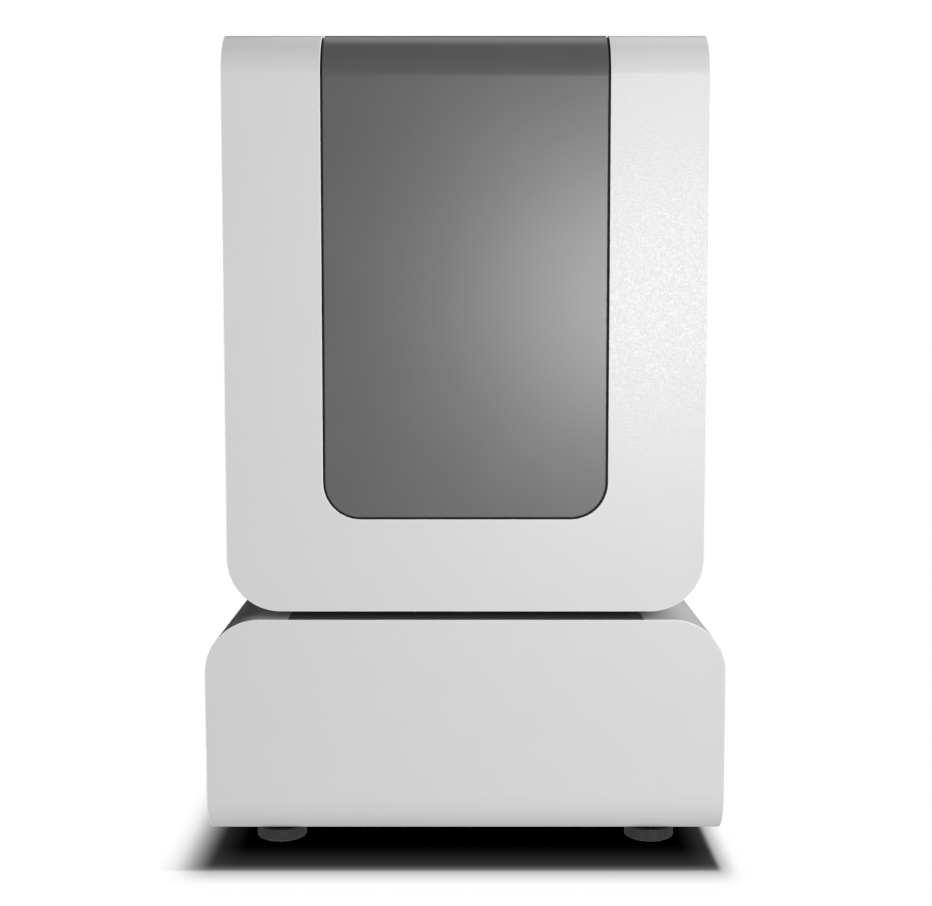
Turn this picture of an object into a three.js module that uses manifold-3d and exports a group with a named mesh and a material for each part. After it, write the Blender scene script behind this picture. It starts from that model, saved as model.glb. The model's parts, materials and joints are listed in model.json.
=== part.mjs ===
// A bench-top sintering furnace for a dental laboratory. A low base holds the hearth, the lift drive and
// the electrics. A tall hood holds the firing chamber, and rises off the base on two guide rods.
// Millimetres. X runs to the right seen from the front, Y to the back, Z up from the bench.
// The origin is on the bench, under the middle of the furnace.

import * as THREE from "three";
import { mergeVertices } from "three/addons/utils/BufferGeometryUtils.js";
import Module from "manifold-3d";

// Clearances and cover thickness
const sheet = 2; // thickness of every outer cover
const seam = 0.4; // line between two neighbouring covers
const seat = 0.2; // gap between a piece and what carries it
const overrun = 3; // how far a cutter reaches past what it cuts
const weld = 1e-4; // corners closer than this are one corner

// Housing
const footClearance = 12; // bench to the underside of the base
const baseHeight = 154.5;
const partingGap = 6; // open line between the base and the lowered hood
const bendRadius = 32; // front covers bend over the top of the hood and under the base
const cornerRadius = 37; // shoulders of the base and lower corners of the hood
const baseStep = 16; // the base is this much wider than the hood on each side
const hoodFlange = 4.5; // flat part of the hood's underside beside its bottom plate
const lipFlat = 45; // flat lip of the base's front cover, under the base
const rearReturn = 38; // flat part of the hood's top cover that runs down the back
const rearRecess = 6; // rear panels sit this far in from the covers' rear edges
const frontZone = 43; // front face to the chamber casing
const backZone = 47; // hood's back frame to its rear panel

// Dark centre panel of the hood and the frame behind it
const centerPanelWidth = 191.9;
const reveal = 1.5; // black line around the panel
const slotRise = 63.8; // hood's lower edge to the lower edge of the panel's slot
const slotRadius = 24;
const carrierOverlap = 12;
const carrierSheet = 1.5;

// Firing chamber
const boreRadius = 70;
const insulationThickness = 46.3;
const wallHeight = 220;
const roofThickness = 60;
const casingWall = 1.5;
const headroom = 109; // casing to the hood's top
const hoodPlate = 3; // thickness of the hood's bottom plate
const mouthMargin = 2; // bottom plate's mouth beyond the bore

// Hearth
const socketClear = 1; // hearth socket to the hood's bottom plate
const socketRim = 8; // socket beyond the bore
const socketFloor = 2;
const plugClearance = 3; // hearth plug to the chamber's bore
const plugHeight = 60;
const hearthPlateInset = 7;
const hearthPlateThickness = 8;

// Heating elements and thermocouple
const elementCount = 4;
const elementInset = 10; // bore wall to the plane of an element
const elementLegSpacing = 26;
const elementRadius = 3;
const terminalRadius = 5; // thick cold ends
const terminalRise = 24; // cold ends above the casing
const terminalHoleGap = 0.8;
const tipClearance = 15; // hearth plate to the tips of the elements
const probeRadius = 4;
const probeReach = 14; // thermocouple below the roof
const probeHeadRadius = 10;
const probeHeadHeight = 18;

// Lift: guide rods, carriage and column
const travel = 160;
const rodSpacing = 140;
const rodRadius = 8;
const rodGap = 0.25;
const bushRadius = 14;
const carriageEdge = 28; // rod axis to the carriage's end
const carriageDepth = 44;
const carriageHeight = 80;
const carriageRise = 12;
const armLength = 20;
const armWidth = 26;
const frameThickness = 4;
const frameDrop = 22; // hood's top to the back frame's upper edge
const frameInset = 12; // hood's side to the back frame's side
const frameLedge = 12; // foot of the back frame
const columnClear = 4;
const columnGap = 22; // chamber casing to the column
const columnOverlap = 20; // column above the raised hood's lower edge
const windowGap = 3; // column to the bottom plate's window
const windowBorder = 15.5;
const crossheadThickness = 12;
const crossheadDepth = 36;
const topClear = 6; // raised spindle nut to the crosshead
const foundationThickness = 12;
const foundationDepth = 70;
const rodHoleGap = 2; // rods to the deck's holes

// Lift: spindle, bearings, pulleys, belt and motor
const spindleRadius = 8;
const journalRadius = 6;
const threadGap = 0.3;
const nutRadius = 14;
const nutLength = 30; // in the carriage
const nutFlangeRadius = 20;
const nutFlange = 10;
const bearingRadius = 15;
const bearingWidth = 9;
const upperBearingRadius = 12;
const spindleShoulder = 1; // bearing to the thread
const pulleyWidth = 14;
const pulleyFlange = 1.5;
const pulleyRim = 2.5; // flange beyond the belt's seat
const pulleyDrop = 6; // foundation plate to the pulleys
const spindlePulleyRadius = 20;
const motorPulleyRadius = 12;
const beltThickness = 2;
const beltGap = 0.4;
const motorSize = 57;
const motorHeight = 76;
const motorCornerCut = 5;
const motorPilotRadius = 19;
const motorPilotHeight = 2;
const motorShaftRadius = 4;
const motorShaftHole = 20;
const motorEdge = 1; // motor to the rail's foot

// Base: tray, rails and deck
const trayThickness = 2;
const trayFlange = 18;
const ventWidth = 3;
const ventPitch = 11;
const trayVentLength = 70;
const trayVentCount = 8;
const railInset = 17.5; // deck's edge to the rail's web
const railThickness = 2;
const railShelf = 35; // top flange, under the deck's edge and the side cover
const railFoot = 20;

// Levelling feet
const footInset = 47.2;
const footFrontInset = 44.6;
const padRadius = 15;
const padHeight = 0.6;
const discRadius = 17.5;
const discHeight = 8.8;
const knurlDepth = 0.5;
const knurlCount = 40;
const collarRadius = 8;
const collarGap = 2; // collar to its hole in the front cover's lip
const studRadius = 4;
const studLength = 20;
const studGap = 0.3;
const bossWall = 5;
const bossHeight = 12;

// Electrics in the base
const layoutGap = 12; // between neighbouring pieces on the tray
const transformerWidth = 110;
const transformerDepth = 95;
const transformerHeight = 80;
const coilInset = 20; // winding in from the core's ends
const coreInset = 24; // core in from the winding's faces
const coilDrop = 8;
const controllerWidth = 60;
const controllerDepth = 105;
const controllerHeight = 46;
const finThickness = 2.4;
const finCount = 8;
const finRoot = 8;
const moduleHeight = 14;
const moduleMargin = 12;
const boardWidth = 64;
const boardDepth = 115;
const boardThickness = 1.6;
const standoffHeight = 8;
const standoffRadius = 3;
const standoffInset = 6;
const chipHeight = 5;
const chipWidth = 22;
const capacitorRadius = 8;
const capacitorHeight = 24;
const capacitorSpread = 14; // board's middle line to each capacitor
const capacitorInset = 30; // board's rear edge to them
const centerGap = 6; // middle plane to the board and the controller

// Rear panel pieces
const fanSize = 80;
const fanDepth = 25;
const fanRise = 8;
const fanX = 48;
const fanBore = 37.5;
const fanHubRadius = 15;
const fanHubPlate = 3;
const fanShaftRadius = 2;
const fanArm = 4;
const fanArmCount = 3;
const rotorGap = 1;
const bladeCount = 7;
const bladeThickness = 1.6;
const bladeChord = 17;
const bladeTurn = 0.9; // radians to the fan's axis
const fanHoleRadius = 2.2;
const fanHoleInset = 4.5;
const inletX = -78;
const socketZ = 38; // tray to the middle of the inlet and the switch
const inletWidth = 27;
const inletHeight = 20;
const inletDepth = 21;
const inletWall = 1.5;
const inletFlange = 3;
const inletFlangeThickness = 1.6;
const cavityDepth = 15;
const pinThickness = 2;
const pinHeight = 4;
const pinLength = 12;
const pinSpread = 7;
const pinLift = 2.5;
const switchGap = 40; // inlet's middle to the switch's middle
const switchWidth = 14;
const switchHeight = 22;
const switchDepth = 18;
const switchWall = 1.5;
const rockerGap = 0.5;
const rockerDepth = 4;
const rockerRise = 2.4;
const rockerTilt = Math.PI / 22.5; // each way from level
const rearVentLength = 62;
const rearVentCount = 7;
const hoodVentLength = 150;
const hoodVentCount = 14;
const hoodVentRise = 120; // hood's lower edge to the lowest vent

// Display behind the dark panel
const displayWidth = 104;
const displayHeight = 165;
const displayDepth = 14;
const displayBezel = 4;
const displayStep = 3;
const displayDrop = 30; // bend of the panel to the display's upper edge

// Smoothness of round shapes
const bendSteps = 6;
const boreSteps = 48;
const turnSteps = 32;
const smallSteps = 16;
const tubeSteps = 8;

// Heights
const trayZ = footClearance + sheet + seat;
const trayTopZ = trayZ + trayThickness;
const deckZ = footClearance + baseHeight;
const underDeckZ = deckZ - sheet - seat;
const foundationZ = underDeckZ - foundationThickness;
const hoodBottomZ = deckZ + partingGap;
const hoodFloorZ = hoodBottomZ + hoodPlate + seat;
const roofZ = hoodFloorZ + wallHeight + seat;
const casingTopZ = roofZ + roofThickness + seat + casingWall;
const hoodTopZ = casingTopZ + headroom;
const slotZ = hoodBottomZ + slotRise;
const returnZ = hoodTopZ - bendRadius - rearReturn;
const socketHeight = partingGap - socketClear;
const plugZ = deckZ + seat + socketFloor + seat;
const hearthPlateZ = plugZ + plugHeight + seat;
const hearthTopZ = hearthPlateZ + hearthPlateThickness;
const carriageZ = hoodBottomZ + hoodPlate + carriageRise;
const carriageTopZ = carriageZ + carriageHeight;
const crossheadZ = carriageTopZ + seat + nutFlange + travel + topClear;
const columnTopZ = hoodBottomZ + travel + columnOverlap;
const pulleyTopZ = foundationZ - pulleyDrop;
const pulleyZ = pulleyTopZ - pulleyWidth;
const discZ = padHeight + seat;
const discTopZ = discZ + discHeight;
const socketMiddleZ = trayTopZ + socketZ;
const fanZ = trayTopZ + fanRise + fanSize / 2;

// Widths
const columnHalf = rodSpacing / 2 + carriageEdge + columnClear + sheet;
const windowHalf = columnHalf + windowGap;
const deckHalf = windowHalf + windowBorder;
const hoodHalf = deckHalf + hoodFlange + cornerRadius;
const baseHalf = hoodHalf + baseStep;
const centerHalf = centerPanelWidth / 2;
const webX = deckHalf - railInset;
const railFootX = webX - railThickness - railFoot;
const motorX = -(railFootX - motorEdge - motorSize / 2);
const footX = baseHalf - footInset;

// Depths
const casingRadius = boreRadius + insulationThickness + seat + casingWall;
const liftDepth = columnGap + sheet + columnClear + carriageDepth + armLength + frameThickness;
const depth = frontZone + 2 * casingRadius + liftDepth + backZone + sheet + rearRecess;
const frontY = -depth / 2;
const rearY = depth / 2;
const chamberY = frontY + frontZone + casingRadius;
const columnY = chamberY + casingRadius + columnGap;
const carriageY = columnY + sheet + columnClear;
const axisY = carriageY + carriageDepth / 2;
const backFrameY = carriageY + carriageDepth + armLength;
const columnRearY = backFrameY - columnClear;
const windowRearY = columnRearY + windowGap;
const panelY = rearY - rearRecess - sheet;
const coverFrontY = frontY + sheet + seam;
const lipY = frontY + bendRadius + lipFlat;
const trayFrontY = frontY + bendRadius;
const footFrontY = frontY + footFrontInset;
const footRearY = rearY - footInset;
const transformerY = trayFrontY + layoutGap;
const boardY = transformerY + transformerDepth + layoutGap;

// Materials
function paint(color, roughness, metalness) {
  return new THREE.MeshStandardMaterial({ color, roughness, metalness, flatShading: true });
}
const whiteCover = paint(0xdcdcda, 0.55, 0);
const darkPanel = paint(0x6f7170, 0.4, 0.4);
const darkDeck = paint(0x2e2f30, 0.6, 0.3);
const blackFrame = paint(0x0c0c0d, 0.8, 0);
const blackPlastic = paint(0x1a1a1b, 0.6, 0);
const blackMetal = paint(0x2a2b2c, 0.45, 0.7);
const rubber = paint(0x141414, 0.9, 0);
const steel = paint(0xb9bbbd, 0.3, 0.9);
const zinc = paint(0xa7abae, 0.45, 0.8);
const aluminium = paint(0xc6c8ca, 0.4, 0.9);
const bronze = paint(0x9c7a3c, 0.4, 0.8);
const fibre = paint(0xefece2, 0.95, 0);
const alumina = paint(0xf3efe4, 0.6, 0);
const silicide = paint(0x57595c, 0.5, 0.5);
const circuit = paint(0x1f5b3a, 0.6, 0);
const copper = paint(0xa5622f, 0.5, 0.6);
const glass = paint(0x0e1011, 0.15, 0);

// Solids: joining and cutting
const kernel = await Module();
kernel.setup();

function solidOf(geometry) {
  const bare = geometry.clone();
  bare.deleteAttribute("normal");
  bare.deleteAttribute("uv");
  const merged = mergeVertices(bare, weld);
  return new kernel.Manifold(
    new kernel.Mesh({
      numProp: 3,
      vertProperties: new Float32Array(merged.attributes.position.array),
      triVerts: new Uint32Array(merged.index.array),
    }),
  );
}

function geometryOf(solid) {
  const mesh = solid.getMesh();
  const geometry = new THREE.BufferGeometry();
  geometry.setAttribute("position", new THREE.BufferAttribute(mesh.vertProperties, 3));
  geometry.setIndex(new THREE.BufferAttribute(mesh.triVerts, 1));
  return geometry;
}

function join(...geometries) {
  return geometryOf(geometries.map(solidOf).reduce((whole, next) => whole.add(next)));
}

function cut(geometry, ...cutters) {
  return geometryOf(cutters.map(solidOf).reduce((left, next) => left.subtract(next), solidOf(geometry)));
}

function common(geometry, other) {
  return geometryOf(solidOf(geometry).intersect(solidOf(other)));
}

// An outline from corner points; a corner's third number is the radius that rounds it.
function outline(corners) {
  const shape = new THREE.Shape();
  corners.forEach(([u, v, radius = 0], i) => {
    const corner = new THREE.Vector2(u, v);
    const [pu, pv] = corners[(i + corners.length - 1) % corners.length];
    const [nu, nv] = corners[(i + 1) % corners.length];
    const back = new THREE.Vector2(pu, pv).sub(corner).normalize();
    const ahead = new THREE.Vector2(nu, nv).sub(corner).normalize();
    const half = Math.acos(THREE.MathUtils.clamp(back.dot(ahead), -1, 1)) / 2;
    const start = corner.clone().addScaledVector(back, radius / Math.tan(half));
    if (i) shape.lineTo(start.x, start.y);
    else shape.moveTo(start.x, start.y);
    if (!radius) return;
    const end = corner.clone().addScaledVector(ahead, radius / Math.tan(half));
    const middle = back.clone().add(ahead).normalize();
    const center = corner.clone().addScaledVector(middle, radius / Math.sin(half));
    const from = Math.atan2(start.y - center.y, start.x - center.x);
    const to = Math.atan2(end.y - center.y, end.x - center.x);
    shape.absarc(center.x, center.y, radius, from, to, back.cross(ahead) > 0);
  });
  shape.closePath();
  return shape;
}

function rectangle(u0, u1, v0, v1, radius = 0) {
  return outline([
    [u0, v0, radius],
    [u1, v0, radius],
    [u1, v1, radius],
    [u0, v1, radius],
  ]);
}

function circle(u, v, radius) {
  return new THREE.Shape().absarc(u, v, radius, 0, 2 * Math.PI, false);
}

// A flat outline made solid along an axis. Along x the outline is in y and z, along y in x and z.
const unitX = new THREE.Vector3(1, 0, 0);
const unitY = new THREE.Vector3(0, 1, 0);
const unitZ = new THREE.Vector3(0, 0, 1);

function slab(shape, axis, from, to, curveSegments = bendSteps) {
  const geometry = new THREE.ExtrudeGeometry(shape, {
    depth: to - from,
    bevelEnabled: false,
    curveSegments,
  });
  if (axis === "x") {
    geometry.applyMatrix4(new THREE.Matrix4().makeBasis(unitY, unitZ, unitX));
    return geometry.translate(from, 0, 0);
  }
  if (axis === "y") {
    geometry.applyMatrix4(new THREE.Matrix4().makeBasis(unitX, unitZ, unitY.clone().negate()));
    return geometry.translate(0, to, 0);
  }
  return geometry.translate(0, 0, from);
}

function block(x0, x1, y0, y1, z0, z1) {
  const geometry = new THREE.BoxGeometry(x1 - x0, y1 - y0, z1 - z0);
  return geometry.translate((x0 + x1) / 2, (y0 + y1) / 2, (z0 + z1) / 2);
}

// A round bar along Z, at x and y.
function bar(radius, z0, z1, x = 0, y = 0, steps = turnSteps) {
  const geometry = new THREE.CylinderGeometry(radius, radius, z1 - z0, steps);
  return geometry.rotateX(Math.PI / 2).translate(x, y, (z0 + z1) / 2);
}

// A turned piece about Z: its profile holds radius and height, and runs up the outside.
function turned(profile, steps = turnSteps) {
  const points = profile.map(([radius, z]) => new THREE.Vector2(radius, z));
  return new THREE.LatheGeometry(points, steps).rotateX(Math.PI / 2);
}

function ring(outer, inner, z0, z1, steps = turnSteps) {
  return turned([[inner, z0], [outer, z0], [outer, z1], [inner, z1], [inner, z0]], steps);
}

// Base covers
function baseFrontPanel() {
  const inner = bendRadius - sheet;
  const profile = outline([
    [frontY, deckZ + overrun],
    [frontY, footClearance, bendRadius],
    [lipY, footClearance],
    [lipY, footClearance + sheet],
    [frontY + sheet, footClearance + sheet, inner],
    [frontY + sheet, deckZ + overrun],
  ]);
  const face = outline([
    [-baseHalf, footClearance - overrun],
    [baseHalf, footClearance - overrun],
    [baseHalf, deckZ, cornerRadius],
    [-baseHalf, deckZ, cornerRadius],
  ]);
  const bent = slab(profile, "x", -baseHalf - overrun, baseHalf + overrun);
  const panel = common(bent, slab(face, "y", frontY - overrun, lipY + overrun));
  const holes = [-footX, footX].map((x) =>
    bar(collarRadius + collarGap, footClearance - overrun, trayZ + overrun, x, footFrontY),
  );
  return cut(panel, ...holes);
}

function baseSideCover(side) {
  const section = outline([
    [side * baseHalf, footClearance - overrun],
    [side * baseHalf, deckZ, cornerRadius],
    [side * (deckHalf + seam), deckZ],
    [side * (deckHalf + seam), deckZ - sheet],
    [side * (baseHalf - sheet), deckZ - sheet, cornerRadius - sheet],
    [side * (baseHalf - sheet), footClearance - overrun],
  ]);
  const lipTopZ = footClearance + sheet + seam;
  const profile = outline([
    [coverFrontY, deckZ + overrun],
    [coverFrontY, lipTopZ, bendRadius - sheet - seam],
    [lipY + seam, lipTopZ],
    [lipY + seam, footClearance],
    [rearY, footClearance],
    [rearY, deckZ + overrun],
  ]);
  const long = slab(section, "y", coverFrontY - overrun, rearY + overrun);
  return common(long, slab(profile, "x", -baseHalf - overrun, baseHalf + overrun));
}

// Upright vents in a panel, side by side about x, from a lower height.
function uprightVents(count, x, z, length) {
  return Array.from({ length: count }, (_, i) => {
    const middle = x + (i - (count - 1) / 2) * ventPitch;
    const slot = rectangle(middle - ventWidth / 2, middle + ventWidth / 2, z, z + length);
    return slab(slot, "y", panelY - overrun, panelY + sheet + overrun);
  });
}

function baseRearPanel() {
  const half = baseHalf - sheet - seam;
  const radius = cornerRadius - sheet - seam;
  const face = outline([
    [-half, trayTopZ + seat],
    [half, trayTopZ + seat],
    [half, underDeckZ, radius],
    [-half, underDeckZ, radius],
  ]);
  const reach = inletWidth / 2 + seat;
  const rise = inletHeight / 2 + seat;
  const switchX = inletX + switchGap;
  const switchReach = switchWidth / 2 + seat;
  const switchRise = switchHeight / 2 + seat;
  const z = socketMiddleZ;
  const inletHole = rectangle(inletX - reach, inletX + reach, z - rise, z + rise);
  const switchHole = rectangle(switchX - switchReach, switchX + switchReach, z - switchRise, z + switchRise);
  const holes = [inletHole, switchHole].map((hole) =>
    slab(hole, "y", panelY - overrun, panelY + sheet + overrun),
  );
  const vents = uprightVents(rearVentCount, fanX, fanZ - rearVentLength / 2, rearVentLength);
  return cut(slab(face, "y", panelY, panelY + sheet), ...holes, ...vents);
}

function chassisTray() {
  const half = baseHalf - sheet - seam;
  const rear = panelY + sheet;
  const floor = block(-half, half, trayFrontY, rear, trayZ, trayTopZ);
  const flangeTopZ = trayZ + trayFlange;
  const flanges = [-1, 1].map((side) => {
    const inner = side * (half - trayThickness);
    return block(Math.min(side * half, inner), Math.max(side * half, inner), trayFrontY, panelY - seat,
      trayZ, flangeTopZ);
  });
  const corners = [-footX, footX].flatMap((x) => [footFrontY, footRearY].map((y) => [x, y]));
  const bosses = corners.map(([x, y]) =>
    bar(studRadius + bossWall, trayZ, trayTopZ + bossHeight, x, y, smallSteps),
  );
  const bores = corners.map(([x, y]) =>
    bar(studRadius + studGap, trayZ - overrun, trayTopZ + bossHeight + overrun, x, y, smallSteps),
  );
  const vents = Array.from({ length: trayVentCount }, (_, i) => {
    const x = (i - (trayVentCount - 1) / 2) * ventPitch;
    const reach = trayVentLength / 2;
    return block(x - ventWidth / 2, x + ventWidth / 2, -reach, reach, trayZ - overrun, trayTopZ + overrun);
  });
  return cut(join(floor, ...flanges, ...bosses), ...bores, ...vents);
}

// A folded Z rail: foot on the tray, web, and a shelf under the deck's edge.
function baseRail(side) {
  const inner = webX - railThickness;
  const footZ = trayTopZ + seat;
  const section = outline([
    [side * railFootX, footZ],
    [side * webX, footZ],
    [side * webX, underDeckZ - railThickness],
    [side * (inner + railShelf), underDeckZ - railThickness],
    [side * (inner + railShelf), underDeckZ],
    [side * inner, underDeckZ],
    [side * inner, footZ + railThickness],
    [side * railFootX, footZ + railThickness],
  ]);
  return slab(section, "y", trayFrontY, panelY - seat);
}

function deckPlate() {
  const plate = block(-deckHalf, deckHalf, coverFrontY, rearY, deckZ - sheet, deckZ);
  const low = deckZ - sheet - overrun;
  const high = deckZ + overrun;
  const holes = [-rodSpacing / 2, 0, rodSpacing / 2].map((x) =>
    bar(rodRadius + rodHoleGap, low, high, x, axisY, smallSteps),
  );
  return cut(plate, ...holes);
}

// Hearth
function hearthSocket() {
  const rim = boreRadius + socketRim;
  const recess = boreRadius - plugClearance + seat;
  return turned(
    [[0, 0], [rim, 0], [rim, socketHeight], [recess, socketHeight], [recess, socketFloor], [0, socketFloor]],
    boreSteps,
  );
}

function hearthPlug() {
  const radius = boreRadius - plugClearance;
  const neck = radius - hearthPlateInset;
  const stepZ = plugHeight - hearthPlateThickness;
  return turned([[0, 0], [radius, 0], [radius, stepZ], [neck, stepZ], [neck, plugHeight], [0, plugHeight]],
    boreSteps);
}

function hearthPlate() {
  return bar(boreRadius - plugClearance - hearthPlateInset, 0, hearthPlateThickness, 0, 0, boreSteps);
}

// Lift, on the base
function foundationPlate() {
  const half = webX - railThickness - seat;
  const reach = foundationDepth / 2;
  const top = underDeckZ - seat;
  const plate = block(-half, half, axisY - reach, axisY + reach, foundationZ, top);
  const rodSeats = [-rodSpacing / 2, rodSpacing / 2].map((x) =>
    bar(rodRadius + seat, foundationZ + sheet, top + overrun, x, axisY, smallSteps),
  );
  const bearingSeat = bar(bearingRadius + seat, foundationZ - overrun, top + overrun, 0, axisY);
  return cut(plate, ...rodSeats, bearingSeat);
}

function guideRod() {
  return bar(rodRadius, foundationZ + sheet + seat, crossheadZ + crossheadThickness, 0, 0, smallSteps);
}

function crosshead() {
  const half = rodSpacing / 2 + carriageEdge;
  const reach = crossheadDepth / 2;
  const top = crossheadZ + crossheadThickness;
  const plate = block(-half, half, axisY - reach, axisY + reach, crossheadZ, top);
  const bores = [-rodSpacing / 2, rodSpacing / 2].map((x) =>
    bar(rodRadius + seat, crossheadZ - overrun, top + overrun, x, axisY, smallSteps),
  );
  const bearingSeat = bar(upperBearingRadius + seat, crossheadZ - overrun, top + overrun, 0, axisY);
  return cut(plate, ...bores, bearingSeat);
}

function columnCover() {
  const inner = columnHalf - sheet;
  const section = outline([
    [-columnHalf, columnY],
    [columnHalf, columnY],
    [columnHalf, columnRearY],
    [inner, columnRearY],
    [inner, columnY + sheet],
    [-inner, columnY + sheet],
    [-inner, columnRearY],
    [-columnHalf, columnRearY],
  ]);
  return slab(section, "z", deckZ + seat, columnTopZ);
}

function spindle() {
  const threadZ = underDeckZ + spindleShoulder;
  const threadTopZ = crossheadZ - spindleShoulder;
  const topZ = crossheadZ + crossheadThickness;
  return turned([
    [0, pulleyZ],
    [journalRadius, pulleyZ],
    [journalRadius, threadZ],
    [spindleRadius, threadZ],
    [spindleRadius, threadTopZ],
    [journalRadius, threadTopZ],
    [journalRadius, topZ],
    [0, topZ],
  ], smallSteps);
}

// A flanged belt pulley between its two faces.
function pulley(radius) {
  const rim = radius + pulleyRim;
  const topZ = pulleyZ + pulleyWidth;
  return [
    [rim, pulleyZ],
    [rim, pulleyZ + pulleyFlange],
    [radius, pulleyZ + pulleyFlange],
    [radius, topZ - pulleyFlange],
    [rim, topZ - pulleyFlange],
    [rim, topZ],
  ];
}

function spindlePulley() {
  const bore = journalRadius + seat;
  const topZ = pulleyZ + pulleyWidth;
  return turned([[bore, pulleyZ], ...pulley(spindlePulleyRadius), [bore, topZ], [bore, pulleyZ]]);
}

// The motor's shaft with its pulley pressed on.
function motorPulley() {
  const shaftZ = trayTopZ + motorHeight + motorPilotHeight + seat - motorShaftHole;
  const topZ = pulleyZ + pulleyWidth;
  return turned([
    [0, shaftZ],
    [motorShaftRadius, shaftZ],
    [motorShaftRadius, pulleyZ],
    ...pulley(motorPulleyRadius),
    [0, topZ],
  ]);
}

// The line round two pulleys at a distance outside their seats.
function beltLine(offset) {
  const large = spindlePulleyRadius + offset;
  const small = motorPulleyRadius + offset;
  const lean = Math.acos((large - small) / Math.abs(motorX));
  const shape = new THREE.Shape();
  shape.absarc(0, axisY, large, Math.PI + lean, Math.PI - lean, false);
  shape.absarc(motorX, axisY, small, Math.PI - lean, Math.PI + lean, false);
  shape.closePath();
  return shape;
}

function driveBelt() {
  const loop = beltLine(beltGap + beltThickness);
  loop.holes.push(beltLine(beltGap));
  const low = pulleyZ + pulleyFlange + beltGap;
  return slab(loop, "z", low, pulleyZ + pulleyWidth - pulleyFlange - beltGap);
}

function liftMotor() {
  const half = motorSize / 2;
  const low = trayTopZ + seat;
  const top = low + motorHeight;
  const section = outline([
    [-half + motorCornerCut, -half],
    [half - motorCornerCut, -half],
    [half, -half + motorCornerCut],
    [half, half - motorCornerCut],
    [half - motorCornerCut, half],
    [-half + motorCornerCut, half],
    [-half, half - motorCornerCut],
    [-half, -half + motorCornerCut],
  ]);
  const pilotTop = top + motorPilotHeight;
  const body = join(slab(section, "z", low, top), bar(motorPilotRadius, top - overrun, pilotTop));
  const hole = bar(motorShaftRadius + studGap, pilotTop - motorShaftHole - seat - studGap,
    pilotTop + overrun, 0, 0, smallSteps);
  return cut(body, hole);
}

// Electrics on the tray
function transformer() {
  const half = transformerWidth / 2;
  const low = trayTopZ + seat;
  const core = block(-half, half, transformerY + coreInset, transformerY + transformerDepth - coreInset, low,
    low + transformerHeight);
  const coil = block(-half + coilInset, half - coilInset, transformerY, transformerY + transformerDepth,
    low + coilDrop, low + transformerHeight - coilDrop);
  return join(core, coil);
}

function powerController() {
  const low = trayTopZ + seat;
  const rear = boardY + controllerDepth;
  const right = centerGap + controllerWidth;
  const top = low + controllerHeight;
  const root = block(centerGap, right, boardY, rear, top - finRoot, top);
  const pitch = (controllerWidth - finThickness) / (finCount - 1);
  const fins = Array.from({ length: finCount }, (_, i) => {
    const x = centerGap + i * pitch;
    return block(x, x + finThickness, boardY, rear, low, top - finRoot / 2);
  });
  const module = block(centerGap + moduleMargin, right - moduleMargin, boardY + moduleMargin,
    rear - moduleMargin, top - finRoot / 2, top + moduleHeight);
  return join(root, ...fins, module);
}

function controlBoard() {
  const low = trayTopZ + seat;
  const left = -centerGap - boardWidth;
  const right = -centerGap;
  const rear = boardY + boardDepth;
  const boardZ = low + standoffHeight;
  const top = boardZ + boardThickness;
  const board = block(left, right, boardY, rear, boardZ, top);
  const posts = [left + standoffInset, right - standoffInset].flatMap((x) =>
    [boardY + standoffInset, rear - standoffInset].map((y) =>
      bar(standoffRadius, low, boardZ + boardThickness / 2, x, y, tubeSteps),
    ),
  );
  const middleX = (left + right) / 2;
  const middleY = (boardY + rear) / 2;
  const chip = block(middleX - chipWidth / 2, middleX + chipWidth / 2, middleY - chipWidth / 2,
    middleY + chipWidth / 2, boardZ + boardThickness / 2, top + chipHeight);
  const capacitors = [-1, 1].map((side) =>
    bar(capacitorRadius, boardZ + boardThickness / 2, top + capacitorHeight,
      middleX + side * capacitorSpread, rear - capacitorInset,
      smallSteps),
  );
  return join(board, ...posts, chip, ...capacitors);
}

// Fan, mains inlet and switch on the base's rear panel. Their own frame: y is zero at the panel's inside.
function fanFrame() {
  const half = fanSize / 2;
  const square = slab(rectangle(-half, half, -half, half), "y", -fanDepth, 0);
  const hole = slab(circle(0, 0, fanBore), "y", -fanDepth - overrun, overrun, smallSteps);
  const screwAt = half - fanHoleInset;
  const screws = [-screwAt, screwAt].flatMap((x) =>
    [-screwAt, screwAt].map((z) =>
      slab(circle(x, z, fanHoleRadius), "y", -fanDepth - overrun, overrun, tubeSteps / 2),
    ),
  );
  const hub = slab(circle(0, 0, fanHubRadius), "y", -fanDepth, -fanDepth + fanHubPlate, tubeSteps);
  const arms = Array.from({ length: fanArmCount }, (_, i) =>
    block(0, fanBore + rotorGap, -fanDepth, -fanDepth + fanHubPlate, -fanArm / 2, fanArm / 2).rotateY(
      Math.PI / 2 + (2 * Math.PI * i) / fanArmCount,
    ),
  );
  const bearing = slab(circle(0, 0, fanShaftRadius + seat), "y", -fanDepth - overrun, 0, tubeSteps);
  return cut(join(cut(square, hole, ...screws), hub, ...arms), bearing);
}

function fanRotor() {
  const low = -fanDepth + fanHubPlate + rotorGap;
  const hub = slab(circle(0, 0, fanHubRadius), "y", low, -rotorGap, tubeSteps);
  const shaft = slab(circle(0, 0, fanShaftRadius), "y", -fanDepth, low + rotorGap, tubeSteps);
  const tip = fanBore - rotorGap - bladeThickness;
  const middle = (low - rotorGap) / 2;
  const blades = Array.from({ length: bladeCount }, (_, i) =>
    block(fanHubRadius - bladeThickness, tip, -bladeChord / 2, bladeChord / 2, -bladeThickness / 2,
      bladeThickness / 2)
      .rotateX(bladeTurn)
      .rotateY((2 * Math.PI * i) / bladeCount)
      .translate(0, middle, 0),
  );
  return join(hub, shaft, ...blades);
}

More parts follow.
